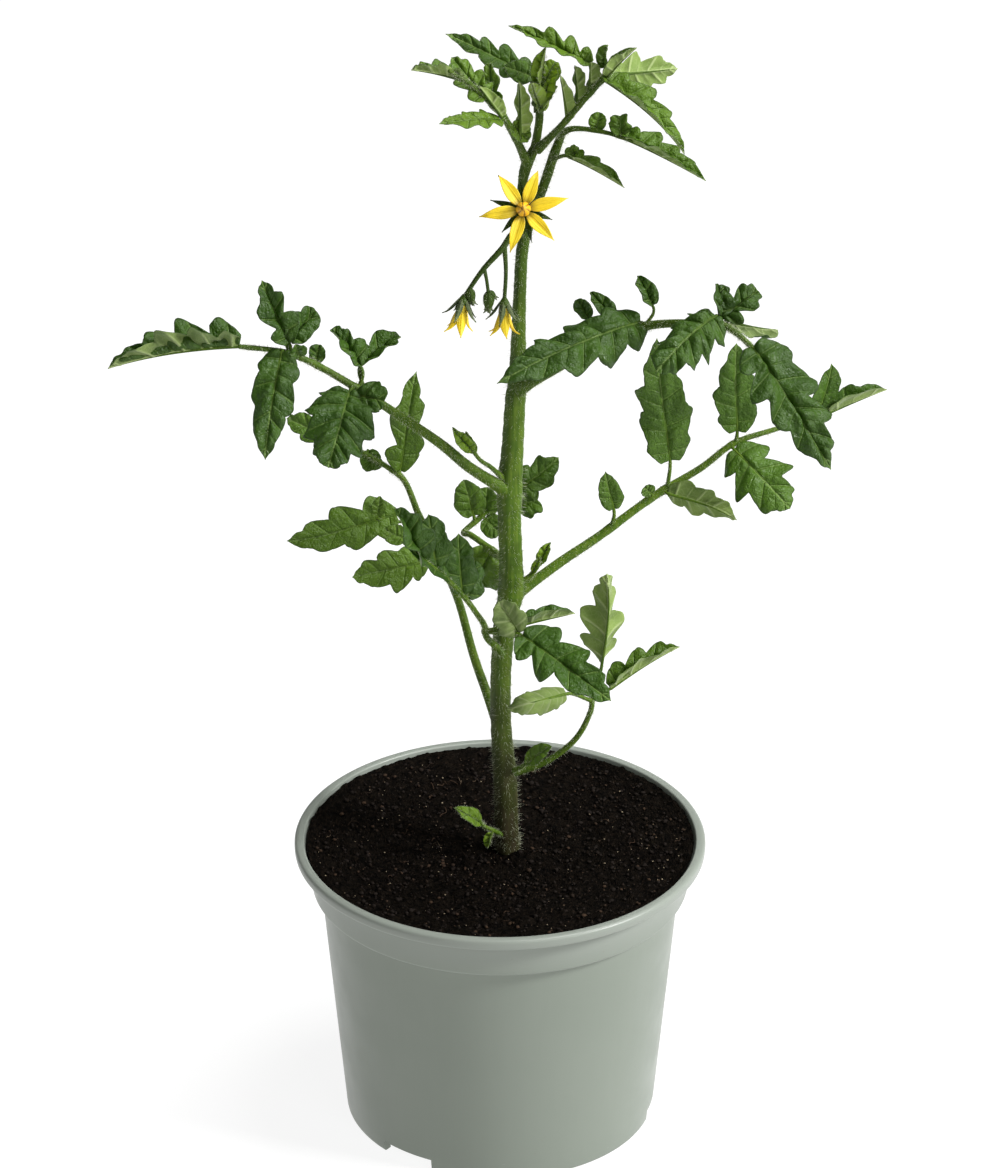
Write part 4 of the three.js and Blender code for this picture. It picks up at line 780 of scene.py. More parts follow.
            leaflet(0.78, (35.5, -7, 415), (36.5, -5, 422.5), (-0.8, -0.6, 0.5), 7, 0, 0, 35, 20, 15),
            leaflet(0.79, (37.5, -9, 413), (60.5, 2, 411), (0.1, 1, -0.35), 16, 3, 0.45, 12, 8, 12),
            leaflet(0.78, (35, -11, 412.5), (62.5, -24, 390.5), (0.5, -0.3, 1), 17, 4, 0.52, 40, 24, 10),
        ],
    },
    "leaf_side_right": {
        "rachis": [(20, 4, 385.5), (24, 1, 389), (29, -1, 390), (37.5, -5, 390), (45, -9, 389)],
        "thickness": (2.2, 1.2), "fresh_and_painted_light": 0.26,
        "leaflets": [
            leaflet(0.6, (33, -2, 390.5), (34, -2, 396.5), (-0.1, -1, 0.5), 7, 0, 0, 10, 5, 5),
            leaflet(0.88, (41.5, -7, 389.5), (70, -20, 379), (0.3, -0.15, 1), 16, 4, 0.45, 45, 10, 10),
            leaflet(0.86, (41.5, -7, 390.5), (41, -4, 396), (-0.5, -1, 0.5), 10, 1, 0.39, 15, 5, 10),
        ],
    },
    "leaf_small_right": {
        "rachis": [(18, 3.5, 377), (20, -1, 379.5), (22.5, -3, 381), (26, -5, 381)],
        "thickness": (1.4, 1), "fresh_and_painted_light": 0.34,
        "leaflets": [
            leaflet(0.69, (23.5, -3, 380.5), (42.5, -12, 373), (0.3, -0.1, 1), 11, 3, 0.45, 45, 14, 10),
            leaflet(0.86, (25.5, -4, 382), (24, -4, 384.5), (-0.5, -1, 0.5), 6, 0, 0, 15, 5, 10),
        ],
    },
    "growing_tip": {
        "rachis": [(13.5, 3, 397.5), (14, 2, 404), (14.5, 1, 409)],
        "thickness": (3.4, 1.6), "fresh_and_painted_light": 1, "young": True,
        "leaflets": [
            leaflet(0.65, (14, 1, 406), (15.5, -2, 420.5), (-0.8, -0.7, 0.2), 9, 0, 0, 55, 10, 5),
            leaflet(0.24, (15.5, 0, 402), (19, 2, 412), (-0.5, -0.7, 0.5), 9, 0, 0, 20, 15, 5),
            leaflet(0, (14, 0, 396), (11, -3, 408), (0.4, 1, 0.1), 8.5, 0, 0, 30, 5, 5),
            leaflet(0, (14.5, 0, 396.5), (19.5, 1, 405), (-0.7, -0.5, 0.5), 9, 0, 0, 40, 5, 5),
            leaflet(0.8, (15.5, 1, 407), (19, 2, 413.5), (-0.1, -0.9, 0.3), 9, 0, 0, 10, 15, 5),
        ],
    },
    "shoot_left": {
        "rachis": [(2, -2, 256.5), (-3, -6, 263.5), (-7, -8, 267.5), (-10, -10, 273)],
        "thickness": (1.8, 1.2), "fresh_and_painted_light": 1, "young": True,
        "leaflets": [
            leaflet(0.96, (-10, -10, 272.5), (-16.5, -13, 282.5), (-0.3, -0.5, 0.6), 7, 0, 0, 40, 8, 10),
            leaflet(0.88, (-9, -9, 271), (-12, -8, 278.5), (-0.3, -0.5, 0.6), 5, 0, 0, 30, 8, 10),
        ],
    },
    "shoot_right": {
        "rachis": [(5.5, 0, 214), (10.5, 0, 217.5), (13, 1, 220.5), (15.5, 1, 223.5)],
        "thickness": (1.8, 1.2), "fresh_and_painted_light": 1, "young": True,
        "leaflets": [
            leaflet(0.9, (14.5, 1, 222.5), (18, 2, 230), (-0.3, -0.8, 0.5), 6, 0, 0, 40, 8, 10),
            leaflet(0.5, (12, 0, 219.5), (14.5, -3, 226.5), (-0.3, -0.8, 0.5), 4, 0, 0, 30, 8, 10),
        ],
    },
    "shoot_low": {
        "rachis": [(3, -1, 138.5), (8, -6, 143.5), (11, -8, 147.5)],
        "thickness": (1.6, 1.2), "fresh_and_painted_light": 0.4, "young": True,
        "leaflets": [
            leaflet(0.96, (11, -8, 147), (18.5, -11, 154.5), (-0.2, -0.6, 0.7), 8, 0, 0, 20, 8, 10),
            leaflet(0.79, (10, -8, 145.5), (13.5, -6, 152.5), (-0.2, -0.6, 0.7), 5, 0, 0, 30, 8, 10),
        ],
    },
    "sprout_foot": {
        "rachis": [(3, -1, 111), (0, -4, 114.5), (-2.5, -6, 117), (-6, -8, 120), (-7.5, -9, 122.5)],
        "thickness": (1.8, 1.4), "fresh_and_painted_light": 0.75, "young": True,
        "leaflets": [
            leaflet(0.97, (-7.5, -9, 122), (-16.5, -13, 130.5), (0, -0.5, 0.8), 8, 0, 0, 25, 8, 10),
            leaflet(0.5, (-3, -7, 116.5), (-4.5, -9, 111.5), (-0.5, -0.5, 0.6), 5, 0, 0, 45, 8, 10),
        ],
    },
}
BLADE = {"thickness": 0.34, "edge": 0.16, "blunt_tip": 0.12, "rows": 78, "columns": 33}
PROFILE = {"rise": 0.55, "fall": 1, "start": 0.03}
LOBE = {
    "end_share": 0.54, "end_power": 0.72,             # how much of the blade the end lobe takes
    "power": 0.85, "lean": 1.45, "stagger": 0.22,     # how the lobes follow one another
    "tip": 0.44, "end_tip": 0.23,                     # where a lobe is longest, in its own share
    "rising": 1.8, "falling": 1.45, "deepest": 0.72,  # the cuts' shape and limit
    "shallower": 0.55, "first": 0.5, "last": 0.5, "last_ease": 0.12,
    "tooth": 0.045, "narrower_tip": 0.12,
}
VEIN = {"foot": 102, "lean": 72, "power": 0.6}        # degrees off the midrib
RIDGE = {"height": 0.2, "width": 0.35, "lower_by_edge": 0.7}
PUCKER = {"height": 1.15, "broad": 0.62, "fine": 0.38, "from_rib": 0.9, "uneven": 0.5, "lower_by_edge": 0.45}
EDGE = {"waves": 1.6, "most": 1.1, "cup": 0.4}
GROOVE = {"depth": 0.08, "width": 0.4}                # the midrib's furrow on the upper face
LAST_ROOT = 0.965                                     # the end leaflet starts inside the rachis
# a turned leaflet is darkened as painted shade
TURNED_PAINTED_SHADE = 0.28                                    # how dark a turned leaflet is


def profile(u):
    """How far the edge is from the midrib, 1 at the widest."""
    def raw(place):
        """The same, unscaled."""
        return (place + PROFILE["start"]) ** PROFILE["rise"] * (1 - place) ** PROFILE["fall"]
    rise, fall = PROFILE["rise"], PROFILE["fall"]
    widest = (rise - fall * PROFILE["start"]) / (rise + fall)
    return raw(np.minimum(u, 1)) / raw(widest)


def vein_angle(u):
    """The angle of the side vein that starts at u along the midrib, in radians."""
    return np.radians(VEIN["foot"] - VEIN["lean"] * u ** VEIN["power"])


class Blade:
    """The curved, lobed and puckered face of one leaflet."""

    def __init__(self, words, draw, pucker):
        self.pucker = pucker
        self.words = words
        self.base = np.array(words["base"], float)
        chord = np.array(words["tip"], float) - self.base
        self.span = np.linalg.norm(chord)
        self.along = chord / self.span
        up = np.array(words["faces"], float)
        self.up = unit(up - self.along * (up @ self.along))
        self.across = np.cross(self.up, self.along)
        self.bend = math.radians(words["arch"] or 1)
        self.length = self.span * self.bend / 2 / math.sin(self.bend / 2)
        self.rise = math.radians(words["fold"])
        self.roll = math.radians(words["curl"] or 1) / (words["width"] / 2)
        self.veins = words["lobes"] or max(2, round(self.length / 7))
        self.lobed = 1 - LOBE["end_share"] * (words["lobes"] or 3) ** -LOBE["end_power"]
        self.size = words["width"] / 20
        lobes = (2, self.veins + 2)
        self.depth = draw.uniform(0.72, 1.3, lobes)          # each lobe's own cut
        self.reach = draw.uniform(0.9, 1.1, lobes)           # and its own length
        self.phase = draw.uniform(0, 2 * math.pi, 8)
        self.twist = draw.normal(0, 0.09)
        self.wander = draw.normal(0, 0.022) * self.length
        self.tone = draw.uniform(0, 1)
        self.stagger = LOBE["stagger"] * draw.choice([-1, 1]) * draw.uniform(0.5, 1.2)

    def count(self, u, v):
        """Lobes passed on the way along the midrib, a little sooner on one side."""
        passed = u / self.lobed
        ahead = self.stagger * np.sign(v) * np.sin(math.pi * np.minimum(passed, 1))
        return self.veins * passed ** LOBE["power"] + ahead

    def lobing(self, u, v):
        """The share of the profile left by the lobes and the small teeth on them."""
        count = self.count(u, v)
        side = (v > 0).astype(int)
        lobe = np.clip(count.astype(int), 0, self.veins + 1)
        depth, reach = self.depth[side, lobe], self.reach[side, lobe]
        past = np.clip((count - self.veins) / (2 * LOBE["end_tip"]), 0, 0.5)
        inside = (count - np.floor(count)) ** LOBE["lean"]
        within = np.where(u >= self.lobed, past, inside)
        power = np.where(within < 0.5, LOBE["rising"], LOBE["falling"])
        dip = np.abs(1 - 2 * within) ** power * np.where(count < LOBE["tip"], LOBE["first"], 1)
        swell = 1 + (reach - 1) * np.sin(math.pi * np.clip(within, 0, 1))
        ending = 1 - LOBE["last"] * ease(u, self.lobed - LOBE["last_ease"], self.lobed)
        cut = self.words["cut"] * dip * depth * (1 - LOBE["shallower"] * u) * ending
        tooth = 1 - np.abs(np.cos(math.pi * count * 2 + self.phase[side]))
        narrowed = 1 - LOBE["narrower_tip"] * ease(u, 0.4 + 0.6 * self.lobed, 1.0)
        return (1 - np.minimum(cut, LOBE["deepest"])) * swell * narrowed * (1 - LOBE["tooth"] * tooth**2)

    def flat(self, u, v):
        """Place on the flattened leaflet: along the midrib, and off it."""
        u, v = np.broadcast_arrays(np.asarray(u, float), np.asarray(v, float))
        reach = self.words["width"] / 2 * profile(u) * self.lobing(u, v)
        reach = np.maximum(reach, BLADE["blunt_tip"])
        off = np.abs(v) * reach
        angle = vein_angle(u)
        return self.length * u + off * np.cos(angle), off * np.sin(angle)

    def relief(self, u, v, off_rib):
        """Height of the puckers between the veins and of the waves along the edge."""
        count = self.count(u, v)
        room = profile(u) ** 0.6
        swell = (PUCKER["broad"] * np.abs(np.sin(math.pi * (count - LOBE["tip"])))
                 + PUCKER["fine"] * np.abs(np.sin(2 * math.pi * (count - LOBE["tip"]))))
        from_rib = 1 - np.exp(-(off_rib / PUCKER["from_rib"]) ** 2)
        uneven = 1 + PUCKER["uneven"] * np.sin(5.1 * v + 3 * count + self.phase[4])
        height = PUCKER["height"] * self.pucker * self.size**0.8
        pucker = height * room * swell * from_rib * uneven * (1 - PUCKER["lower_by_edge"] * v**4)
        side = (v > 0).astype(int)
        wave = np.sin(2 * math.pi * EDGE["waves"] * u + self.phase[5 + side]) * v**2
        lobe_cup = np.cos(2 * math.pi * (count - LOBE["tip"])) * v**2
        edge = self.size * room * (min(EDGE["most"], self.size) * wave - EDGE["cup"] * lobe_cup)
        return pucker + edge - GROOVE["depth"] * np.exp(-(off_rib / GROOVE["width"]) ** 2)

    def at(self, u, v, lift=0.0):
        """The point at u along the midrib and v across, -1 to 1, lifted off the face."""
        x, y = self.flat(u, v)
        u, v = np.broadcast_arrays(np.asarray(u, float), np.asarray(v, float))
        lift = lift + self.relief(u, v, y)
        slope = self.bend / 2 - self.bend * x / self.length
        ahead = self.length * (math.sin(self.bend / 2) - np.sin(slope)) / self.bend
        height = self.length * (np.cos(slope) - math.cos(self.bend / 2)) / self.bend
        tilt = self.rise - self.roll * y
        out = (math.sin(self.rise) - np.sin(tilt)) / self.roll
        above = (np.cos(tilt) - math.cos(self.rise)) / self.roll
        side = np.sign(v)
        across = side * (out - lift * np.sin(tilt))
        above = above + lift * np.cos(tilt)
        turn = self.twist * (u - 0.2)
        across, above = (across * np.cos(turn) - above * np.sin(turn),
                         across * np.sin(turn) + above * np.cos(turn))
        across = across + self.wander * np.sin(math.pi * u) * u
        return (self.base + (ahead - above * np.sin(slope))[..., None] * self.along
                + (height + above * np.cos(slope))[..., None] * self.up + across[..., None] * self.across)

    def midrib(self, shares, sink):
        """Points along the midrib, under the face."""
        return self.at(np.asarray(shares, float), 0.0, -sink)


def add_sheet(skin, grid, top, below, slots, **marks):
    """A closed thin shell round a grid of points; top and below are the distances to its faces."""
    rows, columns = grid.shape[:2]
    normals = unit(np.cross(np.gradient(grid, axis=0), np.gradient(grid, axis=1)))
    upper = grid + normals * np.broadcast_to(top, (rows, columns))[..., None]
    lower = grid - normals * np.broadcast_to(below, (rows, columns))[..., None]
    count = rows * columns
    quads = grid_faces(rows, columns)
    number = np.arange(count).reshape(rows, columns)
    rim = np.concatenate([number[0], number[1:, -1], number[-1, -2::-1], number[-2:0:-1, 0]])
    ahead = np.roll(rim, -1)
    edge = np.stack([rim, ahead, ahead + count, rim + count], -1)
    faces = np.concatenate([quads[:, ::-1], quads + count, edge])
    slot = np.repeat([slots[0], slots[1], slots[0]], [len(quads), len(quads), len(edge)])
    spread = {k: np.tile(np.broadcast_to(v, (rows, columns)).ravel(), 2) for k, v in marks.items()}
    skin.add(np.concatenate([upper.reshape(-1, 3), lower.reshape(-1, 3)]), faces, slot, **spread)


def add_blade(skin, blade, young, painted_shade, slots):
    """The leaflet's blade, with raised veins on its lower face."""
    detail = min(1.0, 0.35 + 0.65 * blade.span / 40)
    rows = int(BLADE["rows"] * detail)
    columns = int(BLADE["columns"] * min(1.0, 0.4 + 0.6 * blade.size)) | 1
    u = (np.linspace(0, 1, rows) ** 1.08)[:, None]
    spaced = np.linspace(-1, 1, columns)
    v = (np.sign(spaced) * np.abs(spaced) ** 1.12)[None]
    u, v = np.broadcast_arrays(u, v)
    _, off_rib = blade.flat(u, v)
    count = blade.count(u, v)
    pitch = np.gradient(u, axis=0) * blade.length / np.maximum(np.gradient(count, axis=0), 1e-6)
    pitch = pitch * np.abs(np.sin(vein_angle(u)))
    from_vein = np.abs((count - LOBE["tip"] + 0.5) % 1 - 0.5) * pitch
    ridge = RIDGE["height"] * blade.size * np.exp(-(from_vein / RIDGE["width"]) ** 2)
    ridge = ridge * (1 - RIDGE["lower_by_edge"] * np.abs(v))
    thin = BLADE["thickness"] + (BLADE["edge"] - BLADE["thickness"]) * v**6
    add_sheet(skin, blade.at(u, v), thin / 2, thin / 2 + ridge, slots, count=count, pitch=pitch,
              off_rib=off_rib, share=np.abs(v), tone=blade.tone, young=young, dark=painted_shade)


def add_stalk(skin, blade, root, thick):
    """The leaflet's own stalk, which runs on under the blade as its midrib."""
    start, end = np.asarray(root, float), blade.base
    gap = np.linalg.norm(end - start)
    t = np.linspace(0, 1, max(4, int(gap / 0.8) + 3))[:-1, None]
    pull = 0.5 * min(gap, 8)
    inner = start + unit(end - start) * gap * 0.35
    outer = end - blade.along * pull
    stalk = (1 - t)**3 * start + 3 * (1 - t)**2 * t * inner + 3 * (1 - t) * t**2 * outer + t**3 * end
    shares = np.linspace(0, 0.96, max(8, int(blade.span / 1.2)))
    rib = blade.midrib(shares, 0.16)
    radii = np.concatenate([np.linspace(thick, 0.62 * thick + 0.12, len(stalk)),
                            (0.62 * thick + 0.12) * (1 - shares) ** 0.8 * 0.86 + 0.07])
    add_tube(skin, np.vstack([stalk, rib]), radii, 9, STALK)
    return stalk


def rachis_line(leaf):
    """The rachis: points along it and its radii, swollen at the stem and at each leaflet."""
    shares = np.linspace(0, 1, 10 * (len(leaf["rachis"]) - 1) + 1)
    line = along_route(leaf["rachis"], shares)
    distance = np.concatenate([[0], np.cumsum(np.linalg.norm(np.diff(line, axis=0), axis=1))])
    first, last = leaf["thickness"]
    radii = (first + (last - first) * shares) / 2
    radii = radii * (1 + 0.28 * np.exp(-(distance / 6) ** 2))
    for words in leaf["leaflets"]:
        near = (shares - min(words["at"], LAST_ROOT)) * distance[-1]
        radii = radii * (1 + 0.12 * np.exp(-(near / 1.8) ** 2))
    return line, radii


def add_leaflet(skin, leaf, number, downy, draw):
    """One leaflet of a leaf: its stalk and midrib, its blade, and their hairs."""
    words = leaf["leaflets"][number]
    first, last = leaf["thickness"]
    blade = Blade(words, draw, leaf.get("pucker", 1.0))
    share = min(words["at"], LAST_ROOT)
    root = along_route(leaf["rachis"], np.array([share]))[0]
    thick = min(0.8, 0.45 * (first + (last - first) * share)) * (0.8 if words["width"] < 10 else 1)
    stalk = add_stalk(skin, blade, root, thick)
    if len(stalk) > 4:
        add_hairs(skin, stalk, thick * 0.9, "young_stalk" if "young" in leaf else "stalk", HAIR, draw)
    # The "fresh" share is partly the paler green of young growth and partly painted light; a leaf's "deep"
    # share and a turned leaflet's darkening are painted shade.
    fresh_and_painted_light = min(1.0, leaf.get("fresh_and_painted_light", 0.0) * (1.6 - 1.1 * words["at"]))
    if number in leaf.get("turned", ()):
        add_blade(skin, blade, fresh_and_painted_light, TURNED_PAINTED_SHADE, (LOWER, UPPER))
    else:
        add_blade(skin, blade, fresh_and_painted_light, leaf.get("painted_shade", 0.0), (UPPER, LOWER))
    for side in (-1, 1) if downy else ():
        add_hairs(skin, blade.at(np.linspace(0.02, 0.98, 40), side), 0.1, "edge", HAIR, draw)
    if "young" in leaf:
        add_hairs(skin, blade.midrib(np.linspace(0.02, 0.9, 14), 0.2), 0.5, "young_rib", HAIR, draw)


def leaf_piece(name, leaf, seed, finishes):
    """One compound leaf: its rachis, its leaflets and its hairs in one mesh."""
    draw = np.random.default_rng(seed)
    skin = Skin()
    age = "young_" if "young" in leaf else ""
    line, radii = rachis_line(leaf)
    add_tube(skin, line, radii, 18, STALK, ribs=3, rib_depth=0.05)
    add_hairs(skin, line, radii, age + "rachis", HAIR, draw)
    for number in range(len(leaf["leaflets"])):
        add_leaflet(skin, leaf, number, name.startswith("leaf_top") or "young" in leaf, draw)
    skin.piece(name + "_fine", (name,), age + "leaf", finishes)


# ------------------------------------------------------------------ stem

# The main stem and the fork behind the flower: places on their routes, the diameters there, and the
# steps from one place to the next.
STEM = {
    "places": [
        (3, 1, 72), (3, 0, 102), (2.5, 0, 114), (2, 0, 134.5), (0.5, -1, 158), (0.5, -1, 180.5), (2, 0, 200),
        (4, 0, 211), (4, 0, 224), (3.5, 0, 240), (3.5, 0, 252.5), (4.5, 0, 267.5), (5.5, 0, 287),
        (6.5, 0, 296), (6.5, 0, 310), (7, 0, 329), (8, 0, 346), (11.5, 1, 358), (15.5, 3, 368.5),
        (18.5, 4, 378), (21.5, 5, 386.5),
    ],
    "diameters": [
        7, 8.4, 8.6, 8.6, 7.4, 7.4, 8, 9.4, 8.4, 8.2, 9.2, 7.8, 7.2, 6.8, 5.2, 4.4, 4.2, 3.4, 3.4, 3.4, 2.8,
    ],
    "steps": 24,
}
FORK = {
    "places": [
        (8, 0, 346), (7.5, 3, 360), (8, 4, 369), (9.5, 4, 375.5), (12, 4, 381.5), (13.5, 4, 391),
        (13.5, 4, 398.5),
    ],
    "diameters": [3, 3.2, 3.4, 4.2, 3, 2.8, 2.6],
    "steps": 16,
}
HAIRS_FROM = 106                     # the stem's hairs start at this height
LOW_HAIRS_TO = 190                   # and its extra low ones end at this one


def tapered(places, diameters, steps):
    """Points and radii along the smooth route through the places."""
    shares = np.linspace(0, 1, steps * (len(places) - 1) + 1)
    radii = np.interp(shares * (len(places) - 1), np.arange(len(places)), diameters) / 2
    return along_route(places, shares), radii


def stem_piece(finishes):
    """The ribbed main stem with its swollen nodes, the fork behind the flower, and their hairs."""
    draw = np.random.default_rng(11)
    skin = Skin()
    for part in (STEM, FORK):
        line, radii = tapered(**part)
        height = line[:, 2]
        uneven = 1 + 0.02 * np.sin(height * 0.9) + 0.015 * np.sin(height * 2.3 + 1)
        add_tube(skin, line, radii * uneven, 44, STALK, ribs=5, rib_depth=0.035, main=1.0)
        shown = height > HAIRS_FROM
        low = shown & (height < LOW_HAIRS_TO)
        for kind, where in (("stem", shown), ("stem_short", shown), ("stem_low", low)):
            if where.any():
                add_hairs(skin, line[where], radii[where] * 0.98, kind, HAIR, draw)
    skin.piece("stem_fine", ("stem",), "stem", finishes)


# ------------------------------------------------------------------ flowers

OPEN_FLOWER = {
    "centre": (8, -16, 366.5), "axis": (0, -0.89, 0.46), "calyx_centre": (8, -14.9, 366),
    "disc": [(-0.4, 4.6), (0.4, 4.6)],                     # distance along the axis, diameter
    "cone": [(0.7, 4.6), (2.4, 4.8), (4.6, 3.6), (6.6, 1.4)],
    "cup": [(-2.4, 1.8), (-1, 3.4), (0.4, 3.6)],
    "petals": {
        "turn": 13, "tips": 6, "reach": 14.5, "width": 4.5, "spread": 84, "inset": 1.8, "recurve": 22,
        "cup": 0.1,
    },
    "sepals": {
        "turn": 42, "tips": 6, "reach": 10, "width": 2.2, "spread": 90, "inset": 1.4, "lift": -0.1,
        "recurve": 12, "cup": 0.16,
    },
}
HALF_OPEN = {
    "cup": [(-1.2, 1.4), (0.6, 3.4), (1.5, 3.6)],
    "bell": [(1.8, 3), (5, 3.6), (8, 2.4)],
    "petals": {
        "turn": 0, "tips": 5, "reach": 10, "width": 3.6, "spread": 16, "inset": 1.4, "lift": 3.2,
        "recurve": 18, "cup": 0.2, "uneven": 5,
    },
    "sepals": {
        "turn": 36, "tips": 5, "reach": 9, "width": 2, "spread": 33, "inset": 1.3, "lift": 0.3,
        "recurve": 12, "cup": 0.16,
    },
    "flowers": [
        {"name": "flower_half_open_left", "centre": (-12.5, -14, 332.5), "axis": (-0.17, -0.14, -1)},
        {"name": "flower_half_open_right", "centre": (1.5, -12, 330.5), "axis": (-0.03, -0.13, -1)},
    ],
}
TRUSS = {
    "stalks": [                                            # places on the route, diameters there
        ([(8.5, 0.5, 351), (4.5, -5, 352.6), (0.5, -9, 348.5), (-6, -12, 342), (-12.4, -14, 332.8)],
         (2.4, 2.4, 2.2, 1.8, 1.4)),
        ([(4.5, -5, 353), (5.5, -10, 358), (7.5, -12.6, 363.5), (8, -13.4, 365.2)], (1.8, 1.6, 1.4, 1.4)),
        ([(1.5, -8.5, 349.5), (2, -11, 341), (1.5, -12, 331)], (1.8, 1.4, 1.4)),
        ([(-5.5, -11.8, 343), (-4.6, -13, 338.5), (-4, -13, 333.5)], (1.4, 1.2, 1.2)),
    ],
    # A bud's outline and its sepals, in bud sizes.
    "bud_outline": [(0, 0.35), (0.35, 0.7), (0.8, 0.62), (1.35, 0.2)],
    "bud_sepals": {"reach": 0.8, "width": 0.3, "inset": 0.13},
    "buds": [
        {"centre": (-4, -13, 334.2), "axis": (0, 0, -1), "size": 5.4},
        {"centre": (-3.8, -13, 334.6), "axis": (0.6, 0.2, -0.8), "size": 3},
        {"centre": (-10.6, -13.6, 336), "axis": (0.2, -0.2, -1), "size": 4.4},
    ],
}


def axes_round(axis):
    """Two square directions round a flower's axis, the first as near +X as can be."""
    forward = unit(axis)
    sideways = unit(np.array([1, 0, 0]) - forward * forward[0])
    return forward, sideways, np.cross(forward, sideways)


def add_lappet(skin, foot, out, forward, words, reach, recurve, draw, slots):
    """A petal or a sepal: pointed, hollowed along its middle, bending away from the axis."""
    rows, columns = 30, 13
    u = np.linspace(0, 1, rows)
    curl = draw.uniform(0.5, 2.2) * ease(u, 0.62, 1.0)
    lean = math.radians(words["spread"]) + math.radians(recurve) * (u - 0.35 + curl)
    step = reach / (rows - 1)
    directions = np.sin(lean)[:, None] * out + np.cos(lean)[:, None] * forward
    middle = foot + np.vstack([np.zeros(3), np.cumsum(directions[1:], axis=0)]) * step
    faces = np.cos(lean)[:, None] * -out + np.sin(lean)[:, None] * forward
    across = np.cross(faces, directions)
    shape = (u + 0.03) ** 0.85 * (1 - u) ** 1.4
    shape = shape / shape.max()
    width = words["width"]
    half = np.maximum(width / 2 * shape, 0.1)
    v = np.linspace(-1, 1, columns)
    turn = (draw.normal(0, 0.3) * u**1.5)[:, None]
    ripple = 0.05 * width * np.sin(7 * u + draw.uniform(0, 6))
    crease = 0.25 * np.exp(-(v / 0.16) ** 2)
    hollow = words["cup"] * width * (v**2)[None] + ripple[:, None] * (v**3)[None] - crease[None]
    side = half[:, None] * v[None]
    sideways = side * np.cos(turn) - hollow * np.sin(turn)
    raised = side * np.sin(turn) + hollow * np.cos(turn) * shape[:, None]
    grid = middle[:, None] + sideways[..., None] * across[:, None] + raised[..., None] * faces[:, None]
    along = np.broadcast_to(u[:, None], grid.shape[:2])
    add_sheet(skin, grid, 0.16, 0.16, slots, along=along, off_rib=side, share=np.abs(v)[None],
              count=along * 3, pitch=3.0, dark=0.75)
    return middle


def add_whorl(skin, centre, axis, words, draw, slots, hairy=False):
    """Petals or sepals set round an axis."""
    forward, sideways, upward = axes_round(axis)
    for index in range(words["tips"]):
        uneven = draw.normal(0, words.get("uneven", 4))
        angle = math.radians(words["turn"] + 360 * index / words["tips"] + uneven)
        out = sideways * math.cos(angle) + upward * math.sin(angle)
        foot = np.asarray(centre, float) + out * words["inset"] + forward * words.get("lift", 0)
        reach = words["reach"] * draw.uniform(0.92, 1.06)
        recurve = words["recurve"] * draw.uniform(0.7, 1.3)
        middle = add_lappet(skin, foot, out, forward, words, reach, recurve, draw, slots)
        if hairy:
            add_hairs(skin, middle, 0.5, "calyx", HAIR, draw)


def add_turned(skin, centre, axis, outline, sides, slot, ribs=0, rib_depth=0.0, **marks):
    """A short body turned about an axis, from pairs of distance and diameter."""
    forward = unit(axis)
    distances, diameters = np.array(outline, float).T
    fine = np.linspace(0, 1, 8 * (len(outline) - 1) + 1)
    pairs = along_route(np.stack([distances, diameters, diameters * 0], -1), fine)
    line = np.asarray(centre, float) + pairs[:, :1] * forward
    add_tube(skin, line, np.maximum(pairs[:, 1] / 2, 0.1), sides, slot, ribs, rib_depth, **marks)
    return line, pairs[:, 1] / 2


def open_flower_piece(finishes):
    """Six pointed yellow petals, a little bent back, round their disc."""
    draw = np.random.default_rng(21)
    skin = Skin()
    flower = OPEN_FLOWER
    add_turned(skin, flower["centre"], flower["axis"], flower["disc"], 24, 0, along=0.1)
    add_whorl(skin, flower["centre"], flower["axis"], flower["petals"], draw, (0, 0))
    skin.piece("flower_open_fine", ("flower_open",), "petal", finishes)


def anther_piece(finishes):
    """The cone of six fused anthers with their seams."""
    skin = Skin()
    flower = OPEN_FLOWER
    forward, sideways, upward = axes_round(flower["axis"])
    outline = np.array(flower["cone"], float)
    fine = np.linspace(0, 1, 40)
    pairs = along_route(np.column_stack([outline, outline[:, 1] * 0]), fine)
    turn = np.linspace(0, 2 * math.pi, 72, endpoint=False)
    lobe = np.abs(np.cos(3 * turn))
    twist = 0.25 * fine[:, None]
    ring = np.cos(turn + twist)[..., None] * sideways + np.sin(turn + twist)[..., None] * upward
    fuller = 1 + 0.45 * fine[:, None] ** 2
    radius = np.maximum(pairs[:, 1:2] / 2, 0.15) * fuller * (0.9 + 0.12 * lobe ** 0.5)[None]
    centre = np.asarray(flower["centre"], float) + pairs[:, :1] * forward
    skin.add_rings(centre[:, None] + ring * radius[..., None], 0, seam=1 - lobe, along=fine[:, None])
    skin.piece("flower_anthers_fine", ("flower_anthers",), "anther", finishes)


def hanging_flower_piece(flower, seed, finishes):
    """A half-open flower that hangs: its petals still close together."""
    draw = np.random.default_rng(seed)
    skin = Skin()
    add_turned(skin, flower["centre"], flower["axis"], HALF_OPEN["bell"], 24, 0, 5, 0.08, along=0.2)
    add_whorl(skin, flower["centre"], flower["axis"], HALF_OPEN["petals"], draw, (0, 0))
    skin.piece(flower["name"] + "_fine", (flower["name"],), "petal", finishes)


def add_bud(skin, centre, axis, size, draw):
    """A closed bud in its pointed sepals."""
    outline = [(a * size, b * size) for a, b in TRUSS["bud_outline"]]
    line, radii = add_turned(skin, centre, axis, outline, 30, STALK, 5, 0.1, dark=0.9)
    add_hairs(skin, line, radii, "bud", HAIR, draw)
    forward, _, _ = axes_round(axis)
    tip = np.asarray(centre, float) + forward * size
    words = {"turn": 0, "tips": 5, "spread": 10, "recurve": 30, "cup": 0.1}
    words.update((word, size * share) for word, share in TRUSS["bud_sepals"].items())
    add_whorl(skin, tip - forward * size * 0.3, axis, words, draw, (UPPER, LOWER))


